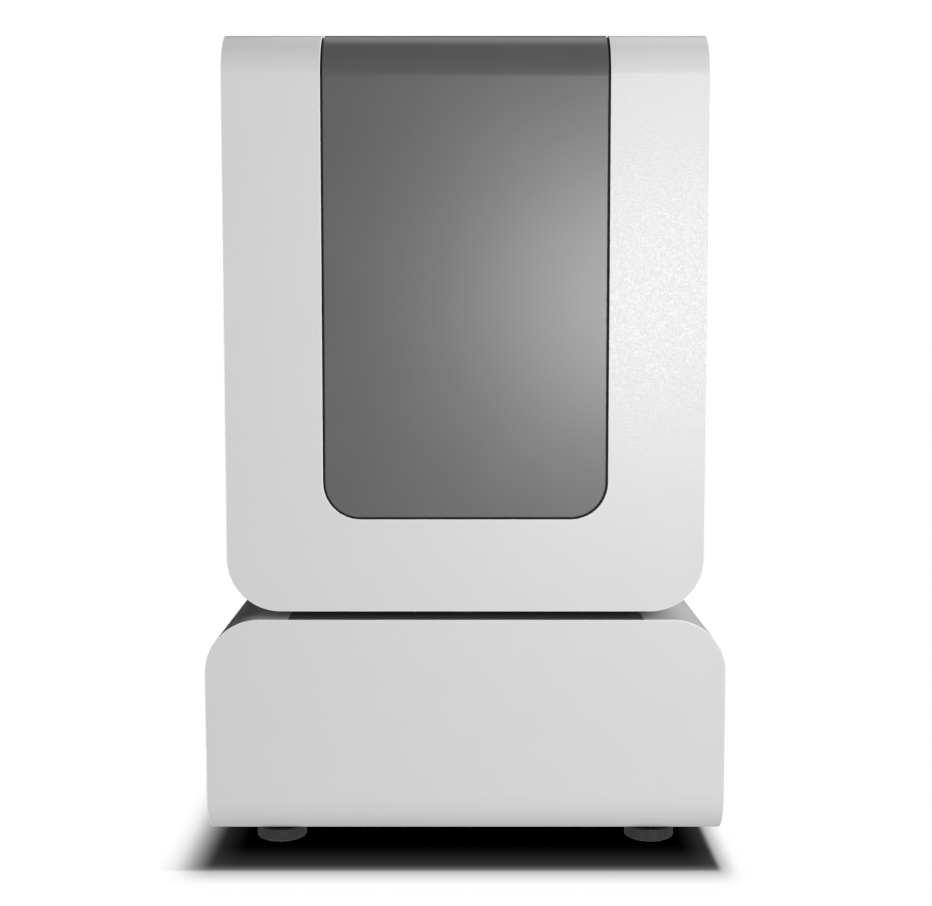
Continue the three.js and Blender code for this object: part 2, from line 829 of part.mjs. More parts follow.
function mainsInlet() {
  const half = inletWidth / 2;
  const rise = inletHeight / 2;
  const face = sheet + seat + inletFlangeThickness;
  const body = block(-half, half, face - inletDepth, face, -rise, rise);
  const flange = block(-half - inletFlange, half + inletFlange, sheet + seat, face, -rise - inletFlange,
    rise + inletFlange);
  const cavity = block(-half + inletWall, half - inletWall, face - cavityDepth, face + overrun,
    -rise + inletWall, rise - inletWall);
  const root = face - cavityDepth - inletWall;
  const pins = [[-pinSpread, 0], [0, pinLift], [pinSpread, 0]].map(([x, z]) =>
    block(x - pinThickness / 2, x + pinThickness / 2, root, face - cavityDepth + pinLength, z - pinHeight / 2,
      z + pinHeight / 2),
  );
  return join(cut(join(body, flange), cavity), ...pins);
}

function switchHousing() {
  const half = switchWidth / 2;
  const rise = switchHeight / 2;
  const face = sheet + seat + inletFlangeThickness;
  const body = block(-half, half, face - switchDepth, face, -rise, rise);
  const flange = block(-half - switchWall, half + switchWall, sheet + seat, face, -rise - switchWall,
    rise + switchWall);
  const cavity = block(-half + switchWall, half - switchWall, face - 2 * rockerDepth - rockerRise,
    face + overrun, -rise + switchWall, rise - switchWall);
  return cut(join(body, flange), cavity);
}

// The rocker, level, about its own pivot.
function mainsRocker() {
  const half = switchWidth / 2 - switchWall - rockerGap;
  const rise = Math.sqrt((switchHeight / 2 - switchWall - rockerGap) ** 2 - rockerDepth ** 2);
  const lip = rockerRise / 2;
  const profile = outline([
    [-rockerDepth, -rise],
    [lip, -rise],
    [rockerRise, 0],
    [lip, rise],
    [-rockerDepth, rise],
  ]);
  return slab(profile, "x", -half, half);
}

// Levelling feet, about their own axis
function footPad() {
  return bar(padRadius, 0, padHeight);
}

function footDisc() {
  const rib = (i) => {
    const angle = (Math.PI * i) / knurlCount;
    const radius = i % 2 ? discRadius - knurlDepth : discRadius;
    return [radius * Math.cos(angle), radius * Math.sin(angle)];
  };
  const rim = outline(Array.from({ length: 2 * knurlCount }, (_, i) => rib(i)));
  const collarTopZ = trayZ - seat;
  return join(
    slab(rim, "z", discZ, discTopZ),
    bar(collarRadius, discTopZ - knurlDepth, collarTopZ, 0, 0, smallSteps),
    bar(studRadius, discTopZ - knurlDepth, discTopZ + studLength, 0, 0, smallSteps),
  );
}

// Hood covers. The top cover and the dark panel share one line, over the front, the top and the back.
function wrapLine(lowFrontZ) {
  const inner = bendRadius - sheet;
  return outline([
    [frontY, lowFrontZ],
    [frontY, hoodTopZ, bendRadius],
    [rearY, hoodTopZ, bendRadius],
    [rearY, returnZ],
    [rearY - sheet, returnZ],
    [rearY - sheet, hoodTopZ - sheet, inner],
    [frontY + sheet, hoodTopZ - sheet, inner],
    [frontY + sheet, lowFrontZ],
  ]);
}

// An upright outline with round lower corners, cut through the whole depth.
function uprightCut(half, low, high, radius) {
  const face = outline([
    [-half, low, radius],
    [half, low, radius],
    [half, high],
    [-half, high],
  ]);
  return slab(face, "y", frontY - overrun, rearY + overrun);
}

function hoodFrontPanel() {
  const bent = slab(wrapLine(hoodBottomZ - overrun), "x", -hoodHalf - overrun, hoodHalf + overrun);
  const whole = common(bent, uprightCut(hoodHalf, hoodBottomZ, hoodTopZ + overrun, cornerRadius));
  return cut(whole, uprightCut(centerHalf + reveal, slotZ, hoodTopZ + overrun, slotRadius + reveal));
}

function hoodCenterPanel() {
  const bent = slab(wrapLine(slotZ), "x", -centerHalf - overrun, centerHalf + overrun);
  return common(bent, uprightCut(centerHalf, slotZ + reveal, hoodTopZ + overrun, slotRadius));
}

// The black frame that closes the line round the dark panel and carries it.
function centerPanelCarrier() {
  const skin = sheet + seat;
  const back = skin + carrierSheet;
  const outer = bendRadius - skin;
  const inner = bendRadius - back;
  const low = slotZ - carrierOverlap;
  const profile = outline([
    [frontY + skin, low],
    [frontY + skin, hoodTopZ - skin, outer],
    [rearY - skin, hoodTopZ - skin, outer],
    [rearY - skin, returnZ + seam],
    [rearY - back, returnZ + seam],
    [rearY - back, hoodTopZ - back, inner],
    [frontY + back, hoodTopZ - back, inner],
    [frontY + back, low],
  ]);
  const half = centerHalf + reveal + carrierOverlap;
  const bent = slab(profile, "x", -half, half);
  const openHalf = centerHalf - carrierOverlap;
  return cut(bent, uprightCut(openHalf, slotZ + reveal + carrierOverlap, hoodTopZ + overrun, slotRadius / 2));
}

function hoodSideCover(side) {
  const topZ = hoodTopZ - sheet - seam;
  const section = outline([
    [side * hoodHalf, topZ + overrun],
    [side * hoodHalf, hoodBottomZ, cornerRadius],
    [side * (deckHalf + seam), hoodBottomZ],
    [side * (deckHalf + seam), hoodBottomZ + sheet],
    [side * (hoodHalf - sheet), hoodBottomZ + sheet, cornerRadius - sheet],
    [side * (hoodHalf - sheet), topZ + overrun],
  ]);
  const radius = bendRadius - sheet - seam;
  const rear = rearY - sheet - seam;
  const profile = outline([
    [coverFrontY, hoodBottomZ - overrun],
    [rear, hoodBottomZ - overrun],
    [rear, topZ, radius],
    [coverFrontY, topZ, radius],
  ]);
  const long = slab(section, "y", coverFrontY - overrun, rear + overrun);
  return common(long, slab(profile, "x", -hoodHalf - overrun, hoodHalf + overrun));
}

function hoodRearPanel() {
  const half = hoodHalf - sheet - seam;
  const radius = cornerRadius - sheet - seam;
  const low = hoodBottomZ + hoodPlate + seat;
  const face = outline([
    [-half, low, radius],
    [half, low, radius],
    [half, returnZ + rearReturn / 2],
    [-half, returnZ + rearReturn / 2],
  ]);
  const vents = Array.from({ length: hoodVentCount }, (_, i) => {
    const z = hoodBottomZ + hoodVentRise + i * ventPitch;
    const slot = rectangle(-hoodVentLength / 2, hoodVentLength / 2, z, z + ventWidth);
    return slab(slot, "y", panelY - overrun, panelY + sheet + overrun);
  });
  return cut(slab(face, "y", panelY, panelY + sheet), ...vents);
}

function hoodBottomPlate() {
  const top = hoodBottomZ + hoodPlate;
  const rear = rearY - sheet - seam;
  const plate = block(-deckHalf, deckHalf, coverFrontY, rear, hoodBottomZ, top);
  const mouth = bar(boreRadius + mouthMargin, hoodBottomZ - overrun, top + overrun, 0, chamberY, boreSteps);
  const window = block(-windowHalf, windowHalf, columnY - windowGap, windowRearY, hoodBottomZ - overrun,
    top + overrun);
  return cut(plate, mouth, window);
}

function hoodBackFrame() {
  const half = hoodHalf - sheet - frameInset;
  const low = hoodFloorZ;
  const high = hoodTopZ - sheet - frameDrop;
  const flangeY = backFrameY + frameLedge;
  const plate = block(-half, half, backFrameY, backFrameY + frameThickness, low + cornerRadius, high);
  const neckZ = low + cornerRadius + overrun;
  const foot = block(-deckHalf, deckHalf, backFrameY, backFrameY + frameThickness, low, neckZ);
  const ledge = block(-deckHalf, deckHalf, backFrameY, flangeY, low, low + frameThickness);
  return join(plate, foot, ledge);
}

// Lift, on the hood
function carriage() {
  const half = rodSpacing / 2 + carriageEdge;
  const main = block(-half, half, carriageY, carriageY + carriageDepth, carriageZ, carriageTopZ);
  const arms = [-1, 1].map((side) => {
    const near = side * (half - armWidth);
    return block(Math.min(near, side * half), Math.max(near, side * half), axisY, backFrameY - seat,
      carriageZ, carriageTopZ);
  });
  const bores = [-rodSpacing / 2, rodSpacing / 2].map((x) =>
    bar(bushRadius + seat, carriageZ - overrun, carriageTopZ + overrun, x, axisY),
  );
  const nutBore = bar(nutRadius + seat, carriageZ - overrun, carriageTopZ + overrun, 0, axisY);
  return cut(join(main, ...arms), ...bores, nutBore);
}

function guideBush() {
  return ring(bushRadius, rodRadius + rodGap, carriageZ, carriageTopZ, smallSteps);
}

function spindleNut() {
  const bore = spindleRadius + threadGap;
  const flangeZ = carriageTopZ + seat;
  return turned([
    [bore, carriageTopZ - nutLength],
    [nutRadius, carriageTopZ - nutLength],
    [nutRadius, flangeZ],
    [nutFlangeRadius, flangeZ],
    [nutFlangeRadius, flangeZ + nutFlange],
    [bore, flangeZ + nutFlange],
    [bore, carriageTopZ - nutLength],
  ], smallSteps);
}

// Chamber, about its own axis
function legPlaces() {
  const plane = boreRadius - elementInset;
  return Array.from({ length: elementCount }, (_, i) => (2 * Math.PI * i) / elementCount).flatMap((angle) =>
    [-1, 1].map((side) =>
      new THREE.Vector2(plane, (side * elementLegSpacing) / 2).rotateAround(new THREE.Vector2(), angle),
    ),
  );
}

function chamberInsulation() {
  return ring(boreRadius + insulationThickness, boreRadius, hoodFloorZ, hoodFloorZ + wallHeight, boreSteps);
}

function drilled(geometry, low, high) {
  const legs = legPlaces().map((place) =>
    bar(terminalRadius + terminalHoleGap, low, high, place.x, place.y, smallSteps),
  );
  return cut(geometry, ...legs, bar(probeRadius + terminalHoleGap, low, high, 0, 0, smallSteps));
}

function chamberRoof() {
  const disc = bar(boreRadius + insulationThickness, roofZ, roofZ + roofThickness, 0, 0, boreSteps);
  return drilled(disc, roofZ - overrun, roofZ + roofThickness + overrun);
}

function chamberCasing() {
  const inner = casingRadius - casingWall;
  const under = casingTopZ - casingWall;
  const can = turned([
    [inner, hoodFloorZ],
    [casingRadius, hoodFloorZ],
    [casingRadius, casingTopZ],
    [0, casingTopZ],
    [0, under],
    [inner, under],
    [inner, hoodFloorZ],
  ], boreSteps);
  return drilled(can, under - overrun, casingTopZ + overrun);
}

// A half round bend below two legs, in the plane of x and z, with its middle at the origin.
class HalfTurn extends THREE.Curve {
  getPoint(t) {
    const angle = Math.PI * (1 + t);
    const radius = elementLegSpacing / 2;
    return new THREE.Vector3(radius * Math.cos(angle), 0, radius * Math.sin(angle));
  }
}

function heatingElement() {
  const bendZ = hearthTopZ + tipClearance + elementRadius + elementLegSpacing / 2;
  const section = circle(0, 0, elementRadius);
  const turn = new THREE.ExtrudeGeometry(section, {
    extrudePath: new HalfTurn(),
    steps: tubeSteps,
    curveSegments: tubeSteps / 2,
    bevelEnabled: false,
  }).translate(0, 0, bendZ);
  const legs = [-1, 1].flatMap((side) => {
    const x = (side * elementLegSpacing) / 2;
    return [
      bar(elementRadius, bendZ - elementRadius / 2, roofZ + overrun, x, 0, tubeSteps),
      bar(terminalRadius, roofZ, casingTopZ + terminalRise, x, 0, tubeSteps),
    ];
  });
  return join(turn, ...legs);
}

function thermocouple() {
  const top = casingTopZ + seat;
  return turned([
    [0, roofZ - probeReach],
    [probeRadius, roofZ - probeReach],
    [probeRadius, top],
    [probeHeadRadius, top],
    [probeHeadRadius, top + probeHeadHeight],
    [0, top + probeHeadHeight],
  ], smallSteps);
}

// The display stands on the dark panel's inside, between the legs of the black frame.
function displayModule() {
  const high = hoodTopZ - bendRadius - displayDrop;
  const low = high - displayHeight;
  const half = displayWidth / 2;
  const front = frontY + sheet + seat;
  const screen = block(-half, half, front, front + displayDepth, low, high);
  const tray = block(-half - displayBezel, half + displayBezel, front + displayStep, front + displayDepth,
    low - displayBezel, high + displayBezel);
  return join(screen, tray);
}

// The assembly
function add(group, name, geometry, material, x = 0, y = 0, z = 0) {
  const mesh = new THREE.Mesh(geometry, material);
  mesh.name = name;
  mesh.position.set(x, y, z);
  group.add(mesh);
  return mesh;
}

function baseUnit() {
  const base = new THREE.Group();
  add(base, "base_front_panel", baseFrontPanel(), whiteCover);
  add(base, "base_side_cover_left", baseSideCover(-1), whiteCover);
  add(base, "base_side_cover_right", baseSideCover(1), whiteCover);
  add(base, "base_rear_panel", baseRearPanel(), darkDeck);
  add(base, "base_chassis_tray", chassisTray(), zinc);
  add(base, "base_rail_left", baseRail(-1), zinc);
  add(base, "base_rail_right", baseRail(1), zinc);
  add(base, "base_deck_plate", deckPlate(), darkDeck);
  add(base, "hearth_socket", hearthSocket(), steel, 0, chamberY, deckZ + seat);
  add(base, "hearth_insulation", hearthPlug(), fibre, 0, chamberY, plugZ);
  add(base, "hearth_plate", hearthPlate(), alumina, 0, chamberY, hearthPlateZ);
  add(base, "power_transformer", transformer(), copper);
  add(base, "power_controller", powerController(), aluminium);
  add(base, "control_board", controlBoard(), circuit);
  add(base, "fan_frame", fanFrame(), blackPlastic, fanX, panelY - seat, fanZ);
  add(base, "fan_rotor", fanRotor(), blackPlastic, fanX, panelY - seat, fanZ);
  add(base, "mains_inlet", mainsInlet(), blackPlastic, inletX, panelY, socketMiddleZ);
  const switchX = inletX + switchGap;
  add(base, "switch_housing", switchHousing(), blackPlastic, switchX, panelY, socketMiddleZ);
  const pivotY = panelY + sheet + seat + inletFlangeThickness - rockerRise / 2;
  const rocker = add(base, "mains_rocker", mainsRocker(), blackPlastic, switchX, pivotY, socketMiddleZ);
  rocker.rotation.x = rockerTilt;
  return base;
}

function levellingFeet() {
  const feet = new THREE.Group();
  const corners = [
    ["front_left", -footX, footFrontY],
    ["front_right", footX, footFrontY],
    ["rear_left", -footX, footRearY],
    ["rear_right", footX, footRearY],
  ];
  corners.forEach(([corner, x, y]) => {
    const foot = new THREE.Group();
    foot.position.set(x, y, 0);
    add(foot, "foot_pad_" + corner, footPad(), rubber);
    add(foot, "foot_disc_" + corner, footDisc(), blackMetal);
    feet.add(foot);
  });
  return feet;
}

function liftDrive() {
  const lift = new THREE.Group();
  add(lift, "lift_foundation_plate", foundationPlate(), aluminium);
  add(lift, "guide_rod_left", guideRod(), steel, -rodSpacing / 2, axisY);
  add(lift, "guide_rod_right", guideRod(), steel, rodSpacing / 2, axisY);
  add(lift, "lift_crosshead", crosshead(), aluminium);
  add(lift, "column_cover", columnCover(), darkDeck);
  const lowerBearing = ring(bearingRadius, journalRadius + seat, 0, bearingWidth, smallSteps);
  add(lift, "spindle_bearing_lower", lowerBearing, steel, 0, axisY, foundationZ + seat);
  const upperBearing = ring(upperBearingRadius, journalRadius + seat, 0, bearingWidth, smallSteps);
  add(lift, "spindle_bearing_upper", upperBearing, steel, 0, axisY, crossheadZ + seat);
  add(lift, "lift_spindle", spindle(), steel, 0, axisY);
  add(lift, "spindle_pulley", spindlePulley(), aluminium, 0, axisY);
  add(lift, "motor_pulley", motorPulley(), aluminium, motorX, axisY);
  add(lift, "drive_belt", driveBelt(), rubber);
  add(lift, "lift_motor", liftMotor(), blackMetal, motorX, axisY);
  return lift;
}

function hoodUnit() {
  const hood = new THREE.Group();
  add(hood, "hood_front_panel", hoodFrontPanel(), whiteCover);
  add(hood, "hood_center_panel", hoodCenterPanel(), darkPanel);
  add(hood, "center_panel_carrier", centerPanelCarrier(), blackFrame);
  add(hood, "hood_side_cover_left", hoodSideCover(-1), whiteCover);
  add(hood, "hood_side_cover_right", hoodSideCover(1), whiteCover);
  add(hood, "hood_rear_panel", hoodRearPanel(), darkDeck);
  add(hood, "hood_bottom_plate", hoodBottomPlate(), steel);
  add(hood, "hood_back_frame", hoodBackFrame(), zinc);
  add(hood, "lift_carriage", carriage(), aluminium);
  add(hood, "guide_bush_left", guideBush(), bronze, -rodSpacing / 2, axisY);
  add(hood, "guide_bush_right", guideBush(), bronze, rodSpacing / 2, axisY);
  add(hood, "spindle_nut", spindleNut(), bronze, 0, axisY);
  add(hood, "display_module", displayModule(), glass);
  const chamber = new THREE.Group();
  chamber.position.set(0, chamberY, 0);
  add(chamber, "chamber_casing", chamberCasing(), steel);
  add(chamber, "chamber_insulation", chamberInsulation(), fibre);
  add(chamber, "chamber_roof", chamberRoof(), fibre);
  add(chamber, "thermocouple", thermocouple(), alumina);
  for (let i = 0; i < elementCount; i++) {
    const turn = new THREE.Group();
    turn.rotation.z = (2 * Math.PI * i) / elementCount;
    const name = "heating_element_" + (i + 1);
    const element = add(turn, name, heatingElement(), silicide, boreRadius - elementInset);
    element.rotation.z = Math.PI / 2;
    chamber.add(turn);
  }
  hood.add(chamber);
  return hood;
}

const furnace = new THREE.Group();
furnace.add(baseUnit(), levellingFeet(), liftDrive(), hoodUnit());

export default furnace;
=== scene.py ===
"""A bench-top sintering furnace for a dental laboratory, seen from the front in a white studio.

Metres. X runs to the right seen from the front, Y to the back, Z up from the bench.
"""

import json
import math

import bmesh
import bpy
from mathutils import Matrix, Vector
from mathutils.geometry import delaunay_2d_cdt


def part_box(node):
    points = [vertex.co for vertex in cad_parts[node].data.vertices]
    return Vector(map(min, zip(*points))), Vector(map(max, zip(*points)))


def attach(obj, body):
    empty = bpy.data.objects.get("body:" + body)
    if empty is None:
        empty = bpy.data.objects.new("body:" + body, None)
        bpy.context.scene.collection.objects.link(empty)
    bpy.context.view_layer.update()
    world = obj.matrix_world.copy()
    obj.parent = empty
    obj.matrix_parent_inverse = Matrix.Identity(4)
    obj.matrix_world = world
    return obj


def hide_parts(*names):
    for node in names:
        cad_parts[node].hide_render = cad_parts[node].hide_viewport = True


MM = 0.001

# Camera, at the photograph's viewpoint
PICTURE_WIDTH = 932
FOCAL_PIXELS = 1588
SENSOR = 36.0
CAMERA_DISTANCE = 1080 * MM
CAMERA_HEIGHT = 375 * MM
CAMERA_PITCH = math.radians(4.92)
SHIFT_PIXELS = 0.57

# Studio, with the room's strength as the camera sees it and as it lights the object
TINY = 1e-7
WHITE = (1, 1, 1, 1)
FLOOR_SIZE = 400.0
ROOM_SEEN = 1.05
ROOM_LIGHT = 0.02

# Lamps for the object: place, target, width, height, power, and whether they show in reflections
LAMPS = {
    "floor_card": ((0.9, -1.6, TINY), (0.9, -1.6, 1), 4.8, 3.0, 27.5, True),
    "key": ((0.36, -2.4, 0.42), (0.05, 0, 0.35), 0.36, 0.36, 15.8, True),
    "main": ((0.9, -1.75, 0.86), (0, 0, 0.3), 1.0, 1.0, 25.5, False),
    "right": ((1.9, 0.6, 2.1), (0, 0, 0.4), 2.0, 2.0, 50.0, False),
    "top": ((0.2, 1.1, 2.6), (0, 0, 0.5), 1.6, 1.6, 9.0, True),
    "rear": ((0.3, 2.2, 1.9), (0, 0, 0.3), 1.8, 1.4, 30.0, False),
}

# Level beams from the left: lowest and highest point, and power
BEAMS = {
    "left_hood": (0.2, 0.8, 0.58),
    "left_base": (-0.03, 0.085, 0.105),
}
BEAM_X = -0.5
BEAM_WIDTH = 0.55
BEAM_SPREAD = math.radians(6)

# Painted shadow of the base on the floor: how dark, then where it starts and where it is full at left, right and
# front
SHADE_LAYERS = (
    (0.3, (-212 * MM, -185 * MM), (176 * MM, 171 * MM), (-249 * MM, -242 * MM)),
    (0.62, (-202 * MM, -172 * MM), (189 * MM, 169 * MM), (-276 * MM, -231 * MM)),
    (0.08, (-216 * MM, -153 * MM), (201 * MM, 150 * MM), (-300 * MM, -190 * MM)),
)
SHADE_REAR = (235 * MM, 190 * MM)

# The part of the noise's range that a colour or a roughness runs over
COLOR_NOISE = (0.35, 0.65)
ROUGHNESS_NOISE = (0.3, 0.7)

# Sheet covers
SHEET = 2 * MM
SEAM = 0.4 * MM
SEAT = 0.2 * MM
BEND = 32 * MM
CORNER = 37 * MM
SLOT_CORNER = 24 * MM
REVEAL = 1.5 * MM
LIP_FLAT = 45 * MM
REAR_RETURN = 38 * MM
CUT_EDGE = 0.5 * MM
BEND_STEPS = 24
CORNER_STEPS = 24
CIRCLE_STEPS = 48
EDGE_STEPS = 3
ROUND_PROFILE = 0.5
RIM_ANGLE = math.radians(40)
FLAT_ENOUGH = 0.99
FACE_WEIGHT = 80

# Levelling feet
RIBS = 88
RIB_DEPTH = 0.4 * MM
RIB_COLUMNS = 4
DISC_CHAMFER = 0.7 * MM
DISC_HEIGHT = 8.8 * MM
COLLAR_RADIUS = 8 * MM
COLLAR_HOLE = 10 * MM
STUD_RADIUS = 4 * MM
THREAD_PITCH = 1.25 * MM
THREAD_DEPTH = 0.6 * MM
THREAD_COLUMNS = 32
THREAD_STEPS = 8
PAD_EDGE = 0.2 * MM
PAD_COLUMNS = 64

# Edges of the solids that keep their shape
SOLID_EDGE = 0.3 * MM
SOLID_EDGE_STEPS = 2
MERGED = 0.001 * MM
SAME_PLANE = math.radians(0.5)
SHARP = math.radians(50)

# Button-head screws. The dome goes by shares of the radius and the height.
SCREW_RADIUS = 3.8 * MM
SCREW_HEIGHT = 2.2 * MM
SCREW_INSET = 10 * MM
SCREW_COLUMNS = 48
LOWER_SCREW_SHARE = 1 / 3
DOME_SHARES = ((1, 0), (1, 0.25), (0.95, 0.6), (0.82, 0.83), (0.62, 0.97), (0.4, 1))
SOCKET_FLAT = 1.25 * MM
SOCKET_CHAMFER = 0.15 * MM
SOCKET_DEPTH = 1.2 * MM
DECK_SCREW_REACH = 160 * MM
FAN_SCREW_INSET = 4 * MM

# Marks on the mains rocker
ROCKER_TILT = math.radians(8)
ROCKER_RIDGE = 2.4 * MM
ROCKER_REACH = 8.06 * MM
MARK_HALF = 1.8 * MM
MARK_STROKE = 0.6 * MM
MARK_HEIGHT = 0.1 * MM

# Heating elements
ELEMENT_COUNT = 4
ELEMENT_PLANE = 60 * MM
ELEMENT_HALF = 13 * MM
ELEMENT_RADIUS = 3 * MM
TERMINAL_RADIUS = 5 * MM
TERMINAL_CONE = 4 * MM
TERMINAL_EDGE = 0.5 * MM
ELEMENT_COLUMNS = 24
ELEMENT_STEPS = 32

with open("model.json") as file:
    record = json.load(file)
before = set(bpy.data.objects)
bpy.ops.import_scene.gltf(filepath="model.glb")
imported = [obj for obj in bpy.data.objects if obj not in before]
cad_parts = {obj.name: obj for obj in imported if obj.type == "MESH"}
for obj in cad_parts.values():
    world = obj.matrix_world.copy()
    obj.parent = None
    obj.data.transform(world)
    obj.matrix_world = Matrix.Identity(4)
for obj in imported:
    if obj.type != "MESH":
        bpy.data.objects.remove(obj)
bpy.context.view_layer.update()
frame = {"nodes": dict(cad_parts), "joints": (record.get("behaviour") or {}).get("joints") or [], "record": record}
scene = bpy.context.scene


# Shader helpers
def surface(material):
    return material.node_tree.nodes["Principled BSDF"]


def new_material(name, color, roughness, metallic=0.0):
    """A material with the values that are the same all over set on the shader itself."""
    material = bpy.data.materials.new(name)
    material.use_nodes = True
    shader = surface(material)
    shader.inputs["Base Color"].default_value = (*color, 1)
    shader.inputs["Roughness"].default_value = roughness
    shader.inputs["Metallic"].default_value = metallic
    return material


def grey(value, warmth=0.0):
    """A nearly neutral linear colour."""
    return (value * (1 + warmth), value, value * (1 - warmth))


def object_noise(material, size, detail=3.0, stretch=(1, 1, 1)):
    """Noise of a real size, fixed to the object."""
    tree = material.node_tree
    place = tree.nodes.new("ShaderNodeTexCoord")
    scaling = tree.nodes.new("ShaderNodeMapping")
    scaling.inputs["Scale"].default_value = stretch
    noise = tree.nodes.new("ShaderNodeTexNoise")
    noise.inputs["Scale"].default_value = 1 / size
    noise.inputs["Detail"].default_value = detail
    tree.links.new(place.outputs["Object"], scaling.inputs["Vector"])
    tree.links.new(scaling.outputs["Vector"], noise.inputs["Vector"])
    return noise


def vary_color(material, noise, dark, light):
    """The base colour runs between two colours with the noise."""
    tree = material.node_tree
    ramp = tree.nodes.new("ShaderNodeValToRGB")
    for stop, place, color in zip(ramp.color_ramp.elements, COLOR_NOISE, (dark, light)):
        stop.position = place
        stop.color = (*color, 1)
    tree.links.new(noise.outputs["Fac"], ramp.inputs["Fac"])
    tree.links.new(ramp.outputs["Color"], surface(material).inputs["Base Color"])


def vary_roughness(material, noise, low, high):
    """The roughness runs between two values with the noise."""
    tree = material.node_tree
    spread = tree.nodes.new("ShaderNodeMapRange")
    spread.inputs["From Min"].default_value = ROUGHNESS_NOISE[0]
    spread.inputs["From Max"].default_value = ROUGHNESS_NOISE[1]
    spread.inputs["To Min"].default_value = low
    spread.inputs["To Max"].default_value = high
    tree.links.new(noise.outputs["Fac"], spread.inputs["Value"])
    tree.links.new(spread.outputs["Result"], surface(material).inputs["Roughness"])


def add_bump(material, noise, height, strength=1.0):
    """The noise stands out of the surface by a real height."""
    tree = material.node_tree
    bump = tree.nodes.new("ShaderNodeBump")
    bump.inputs["Strength"].default_value = strength
    bump.inputs["Distance"].default_value = height
    tree.links.new(noise.outputs["Fac"], bump.inputs["Height"])
    tree.links.new(bump.outputs["Normal"], surface(material).inputs["Normal"])


# Materials
def white_powder_coat():
    grain_size = 1.4 * MM
    grain_height = 0.065 * MM
    waves_size = 30 * MM
    reflection = 0.4
    material = new_material("white_powder_coat", grey(0.575), roughness=0.33)
    surface(material).inputs["Specular IOR Level"].default_value = reflection
    grain = object_noise(material, grain_size, detail=1)
    vary_roughness(material, grain, 0.29, 0.37)
    add_bump(material, grain, grain_height)
    waves = object_noise(material, waves_size, detail=1)
    vary_color(material, waves, grey(0.573), grey(0.577))
    return material


def edge_coat_painted_highlight():
    """The same powder coat, lighter on the rounded edges of the sheets: a painted highlight along the cut edges.
    """
    grain_size = 0.55 * MM
    material = new_material("edge_coat_painted_highlight", grey(0.76), roughness=0.34)
    grain = object_noise(material, grain_size, detail=2)
    vary_roughness(material, grain, 0.3, 0.38)
    return material


def dark_satin_panel():
    cloud_size = 45 * MM
    grain_size = 0.3 * MM
    material = new_material("dark_satin_panel", grey(0.09), roughness=0.36)
    cloud = object_noise(material, cloud_size, detail=2)
    vary_color(material, cloud, grey(0.089), grey(0.093))
    grain = object_noise(material, grain_size, detail=2)
    vary_roughness(material, grain, 0.28, 0.33)
    return material


def dark_powder_coat():
    grain_size = 0.9 * MM
    grain_height = 0.06 * MM
    material = new_material("dark_powder_coat", grey(0.14), roughness=0.5)
    grain = object_noise(material, grain_size, detail=3)
    vary_color(material, grain, grey(0.12), grey(0.16))
    vary_roughness(material, grain, 0.42, 0.6)
    add_bump(material, grain, grain_height, strength=0.6)
    return material


# A near-black sheet for the gap round the dark panel, darker than black paint: a painted shadow in the gap.
def reveal_painted_shadow():
    grain_size = 1 * MM
    material = new_material("reveal_painted_shadow", grey(0.004), roughness=0.7)
    grain = object_noise(material, grain_size)
    vary_roughness(material, grain, 0.65, 0.8)
    return material


def zinc_sheet():
    spangle_size = 9 * MM
    material = new_material("zinc_sheet", grey(0.42), roughness=0.4, metallic=1.0)
    spangle = object_noise(material, spangle_size, detail=1)
    vary_color(material, spangle, grey(0.38, warmth=-0.01), grey(0.5, warmth=-0.01))
    vary_roughness(material, spangle, 0.34, 0.48)
    return material


def brushed_stainless():
    strokes_size = 0.6 * MM
    strokes_height = 0.01 * MM
    stains_size = 35 * MM
    material = new_material("brushed_stainless", grey(0.5), roughness=0.3, metallic=1.0)
    strokes = object_noise(material, strokes_size, detail=3, stretch=(0.03, 1, 1))
    vary_roughness(material, strokes, 0.24, 0.42)
    add_bump(material, strokes, strokes_height, strength=0.3)
    stains = object_noise(material, stains_size, detail=2)
    vary_color(material, stains, grey(0.46, warmth=0.03), grey(0.54))
    return material


def ground_steel():
    rings_size = 0.4 * MM
    material = new_material("ground_steel", grey(0.58), roughness=0.16, metallic=1.0)
    rings = object_noise(material, rings_size, detail=2, stretch=(0.05, 0.05, 1))
    vary_roughness(material, rings, 0.12, 0.24)
    return material


def milled_aluminium():
    strokes_size = 0.8 * MM
    strokes_height = 0.008 * MM
    material = new_material("milled_aluminium", grey(0.6), roughness=0.34, metallic=1.0)
    strokes = object_noise(material, strokes_size, detail=2, stretch=(1, 0.04, 1))
    vary_roughness(material, strokes, 0.28, 0.42)
    add_bump(material, strokes, strokes_height, strength=0.3)
    return material


def bearing_bronze():
    blotches_size = 4 * MM
    material = new_material("bearing_bronze", (0.48, 0.28, 0.1), roughness=0.32, metallic=1.0)
    blotches = object_noise(material, blotches_size)
    vary_color(material, blotches, (0.4, 0.22, 0.08), (0.52, 0.31, 0.12))
    return material


def ceramic_fibre():
    fibres_size = 1.4 * MM
    fibres_height = 0.35 * MM
    material = new_material("ceramic_fibre", (0.8, 0.77, 0.7), roughness=0.95)
    fibres = object_noise(material, fibres_size, detail=5, stretch=(1, 1, 0.35))
    vary_color(material, fibres, (0.7, 0.66, 0.58), (0.86, 0.84, 0.78))
    add_bump(material, fibres, fibres_height, strength=0.8)
    return material


def alumina_ceramic():
    grain_size = 0.8 * MM
    grain_height = 0.05 * MM
    material = new_material("alumina_ceramic", (0.82, 0.79, 0.73), roughness=0.6)
    grain = object_noise(material, grain_size, detail=4)
    vary_color(material, grain, (0.76, 0.72, 0.65), (0.86, 0.84, 0.79))
    add_bump(material, grain, grain_height, strength=0.4)
    return material


